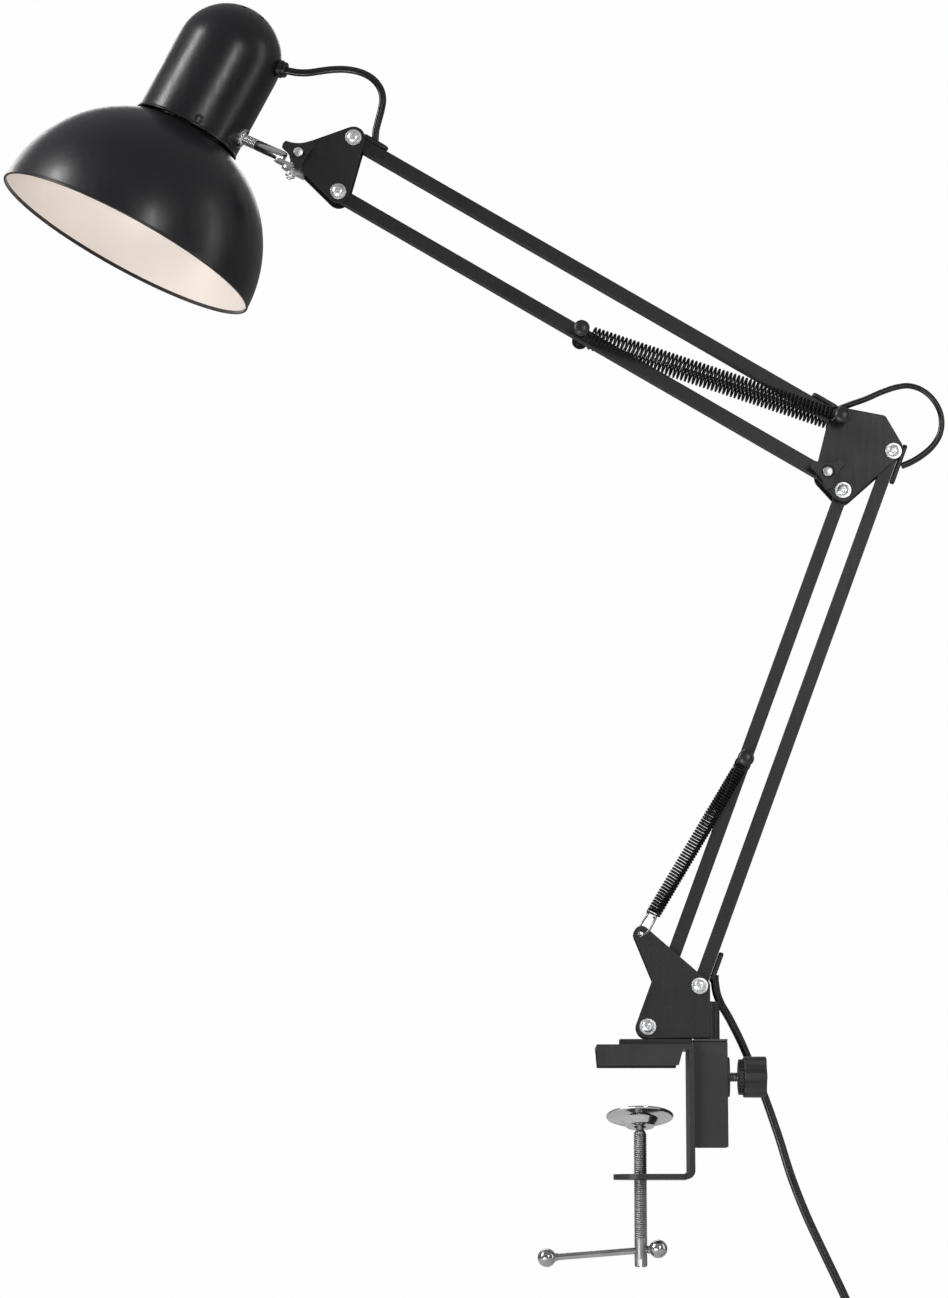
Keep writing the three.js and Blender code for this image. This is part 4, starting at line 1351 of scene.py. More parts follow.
@dataclass
class LeadParts:
    """What sits on the lead: the inline switch, the strain reliefs, the coil's tie and the plug."""

    switch_half_length: float = 28
    plug_top: float = -247.9
    plug_length: float = 32

    def switch(self) -> list[Piece]:
        """The switch's shell, its rocker and its two strain reliefs."""
        shell = rounded_copy("switch_body", 1.1, SWITCH_BLACK, 3)
        shell.ride(Body.BASE, Slot.SWITCH, "switch_body")
        rocker = rounded_copy("switch_rocker", 0.6, ROCKER_BLACK, 3)
        rocker.ride(Body.SWITCH_ROCKER, Slot.ROCKER, "switch_rocker")
        centre = middle("switch_body")
        half = self.switch_half_length
        nozzle = [
            (0, half - 2), (5.2, half - 2), (5.0, half + 3), (3.9, half + 9), (3.4, half + 9.4), (0, half + 9.4),
        ]
        reliefs = []
        for name, direction in (("switch_relief_top", Z_AXIS), ("switch_relief_bottom", -Z_AXIS)):
            short = [(r, half - 2 + (z - half + 2) * (1.0 if direction.z > 0 else 0.42)) for r, z in nozzle]
            relief = turned(name, short, placed(centre, direction), 32).soften(0.3).dress(SWITCH_BLACK)
            reliefs.append(relief.ride(Body.BASE, Slot.SWITCH))
        seam = slab("switch_seam", box_outline(13.08, 28.08), -0.2, 0.2, placed(centre, -Y_AXIS))
        corners = seam.soften(7.9, 8, 60).dress(SWITCH_BLACK)
        corners.ride(Body.BASE, Slot.SWITCH)
        screws = []
        for name, height in (("switch_screw_top", 20.5), ("switch_screw_bottom", -20.5)):
            place = placed(centre + at(0, 0, height), Y_AXIS)
            head = turned(name, [(0, 7.6), (2.6, 7.6), (2.6, 8.4), (2.0, 8.9), (0, 9.0)], place, 28)
            slot_cut = slab("slot_cut", box_outline(2.2, 0.35), 8.3, 9.6, place)
            screws.append(head.cut(slot_cut).smooth().dress(ZINC).ride(Body.BASE, Slot.SWITCH))
        return [shell, rocker, corners, *reliefs, *screws]

    def tie(self) -> Piece:
        """The twisted tie that holds the turns of the coil together."""
        centre = at(139, 28, -244.5)
        outward = Vector((math.cos(math.radians(62)), 0, math.sin(math.radians(62))))
        middle_of_turns = centre + outward * 30.2 * MM
        half_r, half_y, corner = 7.9, 6.4, 2.2
        reaches = [(x, y) for x in (corner - half_r, half_r - corner) for y in (corner - half_y, half_y - corner)]
        ring = belt([(x, y, corner) for x, y in reaches])
        route = [middle_of_turns + outward * x * MM + Y_AXIS * y * MM for x, y in [*ring, ring[0], ring[1]]]
        tangent = Y_AXIS.cross(outward)
        band = [(-0.35, -1.9), (0.35, -1.9), (0.35, 1.9), (-0.35, 1.9)]
        piece = swept("coil_tie", route, band, side=tangent, roll=lambda share: math.pi / 2)
        tip = middle_of_turns + outward * (half_r + 0.4) * MM
        for index, bend in enumerate((-1, 1)):
            ends = [tip + (outward * out + Y_AXIS * bend * aside) * MM for out, aside in ((0, 0), (4, 1.5), (9, 4))]
            route = smooth_route(ends, 0.001)
            tail = swept(f"tie_tail_{index}", route, band, side=tangent, roll=lambda share: math.pi / 2)
            piece.join(tail)
        return piece.dress(TIE_WHITE).ride(Body.BASE, Slot.CORD)

    def plug(self) -> list[Piece]:
        """The flat two-pin plug with its grip ribs, pins and tapered strain relief."""
        top = at(91.5, 28, self.plug_top)
        place = placed(top, Z_AXIS, Y_AXIS)
        outline = belt(((-9, -5, 3), (9, -5, 3), (13.5, 0, 4), (9, 5, 3), (-9, 5, 3), (-13.5, 0, 4)))
        body = slab("plug_body", outline, -self.plug_length, 0, place).soften(1.6, 3, 50)
        for side in (-1, 1):
            rib_place = placed(top + X_AXIS * side * 7.7 * MM, Z_AXIS)
            for index in range(5):
                height = -8 - index * 4
                rib = slab("rib", box_outline(0.9, 7.5), height - 0.8, height + 0.8, rib_place).soften(0.5, 2)
                body.join(rib)
        body.dress(PLUG_BLACK).ride(Body.BASE, Slot.PLUG, "plug")
        pins = []
        for index, offset in enumerate((-9.3, 9.3)):
            low = -self.plug_length
            profile = [
                (0, low - 19), (1.2, low - 19), (1.9, low - 18), (2.0, low - 17), (2.0, low + 1), (0, low + 1),
            ]
            sleeve = [(2.0, low - 9.5), (2.35, low - 9.4), (2.35, low + 1), (2.0, low + 1), (2.0, low - 9.5)]
            pin_place = placed(top + Y_AXIS * offset * MM, Z_AXIS)
            pin = turned(f"plug_pin_{index + 1}", profile, pin_place, 28).smooth().dress(BRASS)
            cover = turned(f"plug_sleeve_{index + 1}", sleeve, pin_place, 28).smooth().dress(PLUG_BLACK)
            pins += [pin.ride(Body.BASE, Slot.PLUG), cover.ride(Body.BASE, Slot.PLUG)]
        relief = swept(
            "plug_relief",
            smooth_route(
                [top + at(0, 0, -1), top + at(0.1, 0, 6), top + at(0.4, 0.1, 12), top + at(1.5, 0.4, 19)], 0.001
            ),
            [(a * 1.25, b) for a, b in round_section(4.6, 24)],
            grow=lambda share: (1.0 - 0.42 * share) * (1.0 if math.sin(share * 38) > -0.4 or share > 0.85 else 0.9),
        )
        relief.dress(PLUG_BLACK).ride(Body.BASE, Slot.PLUG)
        return [body, relief, *pins]


# ---------------------------------------------------------------- bolts, studs and nuts


@dataclass
class Fasteners:
    """Pivot bolts, spring studs, tension bolts and wing nuts, each square to the arms' plane."""

    tools: Toolbox
    face: float = 8.0  # outer side of a plate with its gap, from the mid plane
    bolt: float = 2.5
    head: float = 5.0
    tension: float = 3.0

    @staticmethod
    def stand(pivot: Vector) -> Matrix:
        """A frame at a pivot whose +Z faces the wing nuts' side, with +Y up."""
        return placed(Vector((pivot.x, 0, pivot.z)), -Y_AXIS)

    def hexagon(self, name: str, across_corners: float, low: float, high: float, place: Matrix) -> Piece:
        """A hexagonal nut or head, chamfered at its upper corners."""
        sides = 6
        corners = [
            (across_corners * math.cos(i / sides * FULL_TURN), across_corners * math.sin(i / sides * FULL_TURN))
            for i in range(sides)
        ]
        return slab(name, corners, low, high, place).soften(0.35, 2, 40)

    def pivot_bolt(self, node: str, pivot: Vector, body: Body) -> None:
        """A flanged pan-head bolt with a cross recess, and its locking nut at the back.

        Args:
            node: The CAD node it stands for.
            pivot: Where it stands.
            body: The body it rides on.
        """
        place, face = self.stand(pivot), self.face
        profile = [
            (0, -face - 4.6), (1.9, -face - 4.6), (self.bolt, -face - 4.0), (self.bolt, face), (4.85, face),
            (self.head, face + 0.2), (self.head, face + 0.6), (4.75, face + 0.9), (3.85, face + 0.95),
            (3.75, face + 0.45), (3.5, face + 0.45), (3.45, face + 1.4), (3.2, face + 2.15), (2.6, face + 2.6),
            (1.6, face + 2.85), (0, face + 2.9),
        ]
        piece = turned(f"{node}_shaped", profile, place, 48)
        for turn in (0.35, 0.35 + math.pi / 2):
            stand = place @ Matrix.Rotation(turn, 4, "Z")
            recess = slab("recess", box_outline(1.75, 0.42), face + 1.7, face + 4, stand)
            piece.cut(recess)
        nut = self.hexagon("nut", 4.6, -face - 3.4, -face, place @ Matrix.Rotation(0.3, 4, "Z"))
        low = -face - 3.3
        collar = [
            (self.bolt, low - 1.1), (3.3, low - 0.9), (3.5, low), (self.bolt, low), (self.bolt, low - 1.1),
        ]
        ring = turned("thread_end", collar, place, 32)
        piece.smooth(30).join(nut, ring.smooth())
        piece.dress(ZINC).ride(body, Slot.ZINC, node)

    def stud(self, node: str, pivot: Vector, spring_y: float, body: Body) -> None:
        """A domed stud with a groove on each side for a spring's hook.

        Args:
            node: The CAD node it stands for.
            pivot: Where it stands.
            spring_y: The springs' distance from the mid plane, in millimetres.
            body: The body it rides on.
        """
        end = spring_y + 4.8
        crown = [(4.6, end + 1.3), (3.6, end + 2.0), (2.0, end + 2.5), (0, end + 2.6)]
        dome = [(self.head, end), (self.head, end + 0.5), *crown]
        front = [(self.bolt, end - 0.05), *dome]
        back = [(r, -z) for r, z in reversed(front)]
        piece = turned(f"{node}_shaped", [*back, *front], self.stand(pivot), 40).smooth(40)
        piece.dress(STUD_BLACK).ride(body, Slot.STUD, node)

    def tension_bolt(self, node: str, pivot: Vector, body: Body) -> None:
        """The bolt under a wing nut: a hexagon head at the back, a thread and a domed end in front.

        Args:
            node: The CAD node it stands for.
            pivot: Where it stands.
            body: The body it rides on.
        """
        place, face, r = self.stand(pivot), self.face, self.tension
        profile = [
            (0, -face - 3.8), (r, -face - 3.8), (r, face), (r - 0.35, face + 0.3), (r - 0.35, face + 5.4),
            (r, face + 5.8),
            (r, face + 7.0), (r - 0.4, face + 7.5), (r - 1.5, face + 7.8), (0, face + 7.9),
        ]
        piece = turned(f"{node}_shaped", profile, place, 40).smooth()
        ridge = self.tools.thread("ridge", r, 1.0, 5.2, place @ Matrix.Translation(Z_AXIS * (face + 0.2) * MM), ZINC)
        head = self.hexagon("head", 5.4, -face - 3.8, -face, place)
        piece.join(ridge, head).dress(ZINC).ride(body, Slot.ZINC, node)

    def wing_nut(self, node: str, pivot: Vector, turn: float, body: Body) -> None:
        """A three-cornered wing nut with hollow sides and a six-sided pocket round the bolt's end.

        Args:
            node: The CAD node it stands for.
            pivot: Where it stands.
            turn: Of its first corner above +X, in degrees.
            body: The body it rides on.
        """
        place, face = self.stand(pivot) @ Matrix.Rotation(math.radians(turn), 4, "Z"), self.face
        reach, waist, tip, steps = 10.6, 4.0, 0.22, 12
        outline = []
        for corner in range(3):
            angle = corner / 3 * FULL_TURN
            ends = [(reach, angle + tip), (waist, angle + FULL_TURN / 6), (reach, angle + FULL_TURN / 3 - tip)]
            a, b, c = [(r * math.cos(t), r * math.sin(t)) for r, t in ends]
            outline.append((reach * 1.03 * math.cos(angle), reach * 1.03 * math.sin(angle)))
            for index in range(steps + 1):
                s = index / steps
                outline.append(tuple((1 - s) ** 2 * p + 2 * s * (1 - s) * q + s * s * r for p, q, r in zip(a, b, c)))
        piece = slab(f"{node}_shaped", outline, face + 3.2, face + 6.8, place)
        pocket = self.hexagon("pocket", 4.5, face + 5.9, face + 9, place)
        bore = turned("bore", [(0, face + 2), (3.3, face + 2), (3.3, face + 9), (0, face + 9)], place, 32)
        piece.cut(pocket, bore).soften(0.7, 3, 40)
        hub = [(3.3, face), (5.2, face), (5.2, face + 3.3), (3.3, face + 3.3), (3.3, face)]
        piece.join(turned("hub", hub, place, 36).smooth())
        piece.dress(NUT_BLACK).ride(body, Slot.PLASTIC, node)


# ---------------------------------------------------------------- clamp


@dataclass
class Clamp:
    """The bracket, its socket and bush, the lock knob, the clamp screw with its pad and bar."""

    tools: Toolbox
    lock_height: float = -6.2
    knob_left: float = 58.6
    knob_right: float = 75.2
    knob_radius: float = 13
    screw_low: float = -118
    screw_top: float = -35.3
    bar_height: float = -108.1
    bar_tilt: float = 4.5
    pad_height: float = -35
    pad_tilt: float = 15

    def build(self) -> None:
        """Makes the clamp's pieces."""
        rounded_copy("clamp_bracket", 0.7, BRACKET_GREY, 3).ride(Body.CLAMP, Slot.BRACKET, "clamp_bracket")
        rounded_copy("clamp_socket", 0.9, SOCKET_GREY, 3).ride(Body.CLAMP, Slot.SOCKET, "clamp_socket")
        rounded_copy("socket_bush", 0.3, NYLON).ride(Body.CLAMP, Slot.BUSH, "socket_bush")
        self.lock()
        self.screw()
        self.bar()
        self.pad()

    def lock(self) -> None:
        """The lock screw and its six-lobed knob with a serrated flange."""
        place = placed(at(0, 0, self.lock_height), X_AXIS, Y_AXIS)
        low = 48.2
        core = [(0, low), (2.2, low), (2.45, low + 0.4), (2.45, self.knob_right - 3), (0, self.knob_right - 3)]
        screw = turned("lock_screw_shaped", core, place, 32).smooth()
        ridge_place = place @ Matrix.Translation(Z_AXIS * (low + 0.6) * MM)
        screw.join(self.tools.thread("ridge", 2.85, 1.0, self.knob_left + 2 - low, ridge_place, ZINC))
        screw.dress(ZINC_THREAD).ride(Body.LOCK_KNOB, Slot.ZINC, "lock_screw")
        lobes, steps, swell = 6, 120, 0.95
        outline = []
        for index in range(steps):
            angle = index / steps * FULL_TURN
            reach = self.knob_radius - swell + swell * math.tanh(1.8 * math.cos(angle * lobes)) / math.tanh(1.8)
            outline.append((reach * math.cos(angle), reach * math.sin(angle)))
        knob = slab("lock_knob_shaped", outline, self.knob_left + 3, self.knob_right, place).soften(1.0, 3, 60)
        floor, past = self.knob_right - 1.4, self.knob_right + 1
        hollow = turned("hollow", [(0, floor), (7.6, floor), (8.2, past), (0, past)], place, 48)
        knob.cut(hollow).smooth()
        left = self.knob_left
        flange = [
            (2.9, left), (9.4, left), (9.8, left + 0.4), (9.8, left + 3.4), (2.9, left + 3.4), (2.9, left),
        ]
        knob.join(turned("flange", flange, place, 60).smooth())
        teeth = {"Count": 28, "Ring Radius": 9.9 * MM, "Tooth": (1.3 * MM, 1.15 * MM, 2.6 * MM)}
        ring = self.tools.teeth.make("serration", teeth, KNOB_GREY)
        knob.join(ring.moved(place @ Matrix.Translation(Z_AXIS * (left + 1.5) * MM)))
        knob.dress(KNOB_GREY).ride(Body.LOCK_KNOB, Slot.KNOB, "lock_knob")

    def screw(self) -> None:
        """The threaded screw: ball end above, a plain slotted foot with the bar's hole below."""
        place = Matrix.Identity(4)
        low, top = self.screw_low, self.screw_top
        thread_low, root, crest = low + 17, 3.3, 3.95
        profile = [
            (0, low), (2.9, low), (crest - 0.2, low + 0.8), (crest - 0.2, thread_low - 0.6), (root, thread_low),
            (root, top - 3.4), (2.2, top - 2), (2.2, top), (2.8, top + 0.8), (1.6, top + 1.7), (0, top + 2),
        ]
        screw = turned("clamp_screw_shaped", profile, place, 40)
        slot_cut = slab("slot_cut", box_outline(0.8, 6), low - 1, low + 4.5, place)
        across = placed(at(0, 0, self.bar_height), X_AXIS, Y_AXIS)
        hole = turned("hole", [(0, -9), (2.5, -9), (2.5, 9), (0, 9)], across, 32)
        nick = slab("nick", box_outline(0.7, 3), -1.2, 1.2, placed(at(crest, 0, thread_low + 8.6), Z_AXIS))
        screw.cut(slot_cut, hole, nick).smooth()
        ridge_place = Matrix.Translation(Z_AXIS * (thread_low - 0.4) * MM)
        ridge = self.tools.thread("ridge", crest, 1.25, top - 3.6 - thread_low, ridge_place, ZINC)
        screw.join(ridge).dress(ZINC_THREAD).ride(Body.CLAMP_SCREW, Slot.ZINC, "clamp_screw")

    def bar(self) -> None:
        """The bar with a ball and a small collar at each end."""
        tilt = math.radians(self.bar_tilt)
        place = placed(at(0, 0, self.bar_height), Vector((math.cos(tilt), 0, math.sin(tilt))), Y_AXIS)
        left, right, ball, rod = -55.8, 10.3, 5.45, 2.0
        reach = math.degrees(math.acos(2.4 / ball))
        first = sampled_arc(ball, -90, reach, 16, left)
        collar = [(2.4, left + 6.2), (rod, left + 6.6), (rod, right - 6.6), (2.4, right - 6.2)]
        profile = [*first, *collar, *sampled_arc(ball, -reach, 90, 16, right)]
        turned("tommy_bar_shaped", profile, place, 40).smooth(40).dress(BAR_CHROME).ride(
            Body.TOMMY_BAR, Slot.CHROME, "tommy_bar"
        )

    def pad(self) -> None:
        """The stamped cup on the screw's ball end, and the washer that holds it."""
        place = Matrix.Translation(at(0, 0, self.pad_height)) @ Matrix.Rotation(-math.radians(self.pad_tilt), 4, "X")
        profile = [
            (3.6, -0.7), (7.4, -0.7), (8.4, -0.4), (8.9, 0.2), (10.8, 3.2), (11.3, 3.7), (12.2, 3.95), (18.8, 4.75),
            (19.7, 5.1), (20.0, 5.8), (19.8, 6.4), (19.2, 6.5), (18.6, 6.2), (18.2, 5.9), (11.8, 5.3), (10.9, 5.0),
            (10.3, 4.4), (8.1, 1.0), (7.4, 0.6), (3.6, 0.6), (3.6, -0.7),
        ]
        turned("pressure_pad_shaped", profile, place, 72).smooth(50).dress(PAD_CHROME).ride(
            Body.PRESSURE_PAD, Slot.CHROME, "pressure_pad"
        )
        low = self.screw_top + 2.3
        washer = [(0, low), (3.6, low), (3.8, low + 0.3), (3.6, low + 0.9), (2.6, low + 1.15), (0, low + 1.2)]
        turned("pad_washer_shaped", washer, Matrix.Identity(4), 40).smooth().dress(ZINC).ride(
            Body.SCREW_CARRIAGE, Slot.ZINC, "pad_washer"
        )


# ---------------------------------------------------------------- arms and brackets


@dataclass
class Frame:
    """The turning base, both parallelogram arms, the elbow and the head bracket."""

    fasteners: Fasteners
    plate_round: float = 0.3
    tube_round: float = 0.7

    def plates(self, name: str, body: Body) -> None:
        """The front and back plate of a bracket."""
        for side in ("front", "back"):
            node = f"{name}_{side}"
            rounded_copy(node, self.plate_round, PLATE_BLACK).ride(body, Slot.PLATE, node)

    def tube(self, name: str, body: Body, grommets: Sequence[str] = ()) -> None:
        """An arm tube and the strain-relief covers on it."""
        rounded_copy(name, self.tube_round, ARM_BLACK, 3).ride(body, Slot.ARM, name)
        for node in grommets:
            rounded_copy(node, 0.9, BLACK_PLASTIC, 3).ride(body, Slot.PLASTIC, node)

    def build(self) -> None:
        """Makes the pieces from the post to the head bracket."""
        low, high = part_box("post")
        radius, bottom, top = (high.x - low.x) / 2 / MM, low.z / MM, high.z / MM
        foot = [(0, bottom), (radius - 0.6, bottom), (radius, bottom + 0.6)]
        post = [*foot, (radius, top - 0.7), (radius - 0.7, top), (0, top)]
        place = Matrix.Translation(Vector((middle("post").x, 0, 0)))
        turned("post_shaped", post, place, 64).smooth().dress(ARM_BLACK).ride(Body.BASE, Slot.ARM, "post")
        self.plates("base_plate", Body.BASE)
        self.tube("lower_cord_tube", Body.LOWER_CORD_ARM, ("lower_grommet_base", "lower_grommet_elbow"))
        self.tube("lower_spring_tube", Body.LOWER_SPRING_ARM)
        self.plates("elbow_plate", Body.ELBOW)
        self.tube("upper_cord_tube", Body.UPPER_CORD_ARM, ("upper_grommet_elbow", "upper_grommet_head"))
        self.tube("upper_spring_tube", Body.UPPER_SPRING_ARM)
        self.plates("head_plate", Body.HEAD_BRACKET)
        parts = self.fasteners
        for node, body in (
            ("base_bolt_cord", Body.BASE),
            ("base_bolt_spring", Body.BASE),
            ("elbow_bolt_cord", Body.ELBOW),
            ("elbow_bolt_spring", Body.ELBOW),
            ("head_bolt_cord", Body.HEAD_BRACKET),
            ("head_bolt_spring", Body.HEAD_BRACKET),
        ):
            parts.pivot_bolt(node, middle(node), body)
        parts.stud("lower_spring_stud", middle("lower_spring_stud"), 9.5, Body.LOWER_SPRING_ARM)
        parts.stud("upper_spring_stud", middle("upper_spring_stud"), 12.6, Body.UPPER_SPRING_ARM)
        parts.stud("elbow_stud", ELBOW_STUD, 12.6, Body.ELBOW)
        parts.tension_bolt("elbow_tension_bolt", ELBOW_TENSION, Body.ELBOW)
        parts.tension_bolt("head_tension_bolt", KNUCKLE, Body.HEAD_BRACKET)
        parts.wing_nut("elbow_wing_nut", ELBOW_TENSION, 33, Body.ELBOW_WING_NUT)
        parts.wing_nut("head_wing_nut", KNUCKLE, 30, Body.HEAD_WING_NUT)


# ---------------------------------------------------------------- springs


@dataclass
class Spring:
    """A tension spring from a fixed end on a bracket to a stud on an arm, with a hook at each end.

    The ends handed to bend for each of its pieces come from shares of the arm's turn that would keep it close to
    straight as the arm moves; bend only bakes the piece in place.
    """

    tools: Toolbox
    name: str
    node: str
    fixed_end: Vector
    arm_end: Vector
    fixed_gap: float
    arm_gap: float
    turns: Sequence[int]
    bodies: tuple[Body, Body]
    share_at: Callable[[float], float]
    fixed_hook: Sequence[Point]
    coil: float = 3.9
    wire: float = 0.66
    hook_step: float = 0.0006

    @property
    def length(self) -> float:
        """From end to end, in millimetres."""
        return (self.arm_end - self.fixed_end).length / MM

    def place(self, distance: float) -> Matrix:
        """The spring's frame at a distance from its fixed end: +Z towards the arm's end."""
        along = (self.arm_end - self.fixed_end).normalized()
        return placed(self.fixed_end + along * distance * MM, along, along.cross(Y_AXIS))

    def ends(self, low: float, high: float) -> tuple[Vector, Vector]:
        """Where the turning of a piece has to start and end for its shares at both its ends.

        Args:
            low: The piece's near end, from the fixed end, in millimetres.
            high: Its far end.

        Returns:
            The two points, past the piece's ends where its shares aren't 0 and 1.
        """
        shares = [min(1.0, max(0.0, self.share_at(d / self.length))) for d in (low, high)]
        eased = [0.5 - math.sin(math.asin(1 - 2 * share) / 3) for share in shares]
        slope = (high - low) / (eased[1] - eased[0])
        first = low - eased[0] * slope
        return self.place(first).translation.copy(), self.place(first + slope).translation.copy()

    def build(self) -> None:
        """Makes the hooks and the coil's pieces."""
        body_length = self.length - self.fixed_gap - self.arm_gap
        pitch = body_length / sum(self.turns)
        route = smooth_route([at(*point) for point in self.fixed_hook], self.hook_step)
        hook = swept(f"{self.name}_hook", route, round_section(0.62), side=Vector((0.31, 0.95, 0.05)))
        hook.moved(self.place(0)).dress(HOOK_STEEL)
        hook.bend(*self.bodies, self.ends(0, self.fixed_gap), Slot.SPRING, self.node)
        start = self.fixed_gap
        for index, turns in enumerate(self.turns):
            height = turns * pitch
            piece = self.tools.helix(
                f"{self.name}_coil_{index + 1}", turns, self.coil, height, self.wire, self.place(start), SPRING_BLACK
            )
            if index == len(self.turns) - 1:
                loop = [(3.9, 0, 0), (3.7, 0.9, 0.9), (1.8, 0.8, 2.2), (0.3, 0.3, self.arm_gap - 3.5)]
                ring = [math.radians(-80 + 34 * step) for step in range(10)]
                loop += [(3.3 * math.cos(a), 0.15, self.arm_gap + 3.3 * math.sin(a)) for a in ring]
                route = smooth_route([at(*point) for point in loop], self.hook_step)
                eye = swept("eye", route, round_section(0.6), side=Vector((0.05, 1, 0.05)))
                piece.join(eye.moved(self.place(start + height)).dress(SPRING_BLACK))
            shares = [self.share_at((start + d) / self.length) for d in (0, height)]
            if min(shares) > 0.99:
                piece.ride(self.bodies[1], Slot.SPRING)
            else:
                piece.bend(*self.bodies, self.ends(start, start + height), Slot.SPRING)
            start += height


@dataclass
class Springs:
    """The four springs, one on each side of each arm."""

    tools: Toolbox
    lower_y: float = 9.5
    upper_y: float = 12.6
    horn: tuple[float, float] = (1.3, 78.8)
    horn_y: float = 7.0

    def lower_share(self, t: float) -> float:
        """How much of the lower arm's turn a point of its spring takes, for a straight spring."""
        horn = Vector((self.horn[0] * MM, 0, self.horn[1] * MM)) - BASE_SPRING_PIVOT
        stud = middle("lower_spring_stud") - BASE_SPRING_PIVOT
        along = (stud - horn).normalized()
        start, end = horn.dot(along), stud.dot(along)
        return t * end / (start + t * (end - start))

    @staticmethod
    def upper_share(t: float) -> float:
        """The same for the upper arm, whose spring starts beside the pivot."""
        settled, power = 0.4, 2.5
        return 1.0 if t >= settled else 1 - (1 - t / settled) ** power

    def build(self) -> None:
        """Makes the four springs."""
        for side, sign in (("front", -1), ("back", 1)):
            long_hook = [
                (3.9, 0, 15), (3.4, -sign * 0.9, 14), (2.7, sign * 1.2, 12.8), (2.9, sign * 2.1, 9.5),
                (3.0, sign * 2.4, 5.5), (2.4, sign * 2.4, 1.6), (1.0, sign * 1.8, -0.9), (-0.9, -sign * 1.8, -0.9),
                (-2.4, -sign * 2.4, 1.6), (-3.0, -sign * 2.4, 5.5), (-2.9, -sign * 1.8, 9.5),
                (-2.4, -sign * 0.8, 12.8), (-1.0, 0, 13.8),
            ]
            stud = middle("lower_spring_stud")
            Spring(
                self.tools, f"lower_spring_{side}", f"lower_spring_{side}",
                at(self.horn[0], sign * self.horn_y, self.horn[1]), Vector((stud.x, sign * self.lower_y * MM, stud.z)),
                15, 7, (14, 17, 22), (Body.BASE, Body.LOWER_SPRING_ARM), self.lower_share, long_hook,
            ).build()
            ring = [math.radians(80 - 34 * step) for step in range(10)]
            eye = [(3.9, 0, 6), (3.7, -0.9, 5.2), (1.8, -0.7, 4.2), (0.4, -0.2, 3.5)]
            eye += [(3.3 * math.cos(a), -0.1, 3.3 * math.sin(a)) for a in ring]
            stud = middle("upper_spring_stud")
            Spring(
                self.tools, f"upper_spring_{side}", f"upper_spring_{side}",
                Vector((ELBOW_STUD.x, sign * self.upper_y * MM, ELBOW_STUD.z)),
                Vector((stud.x, sign * self.upper_y * MM, stud.z)),
                6, 7, (6, 8, 12, 36), (Body.ELBOW, Body.UPPER_SPRING_ARM), self.upper_share, eye,
            ).build()


# ---------------------------------------------------------------- head


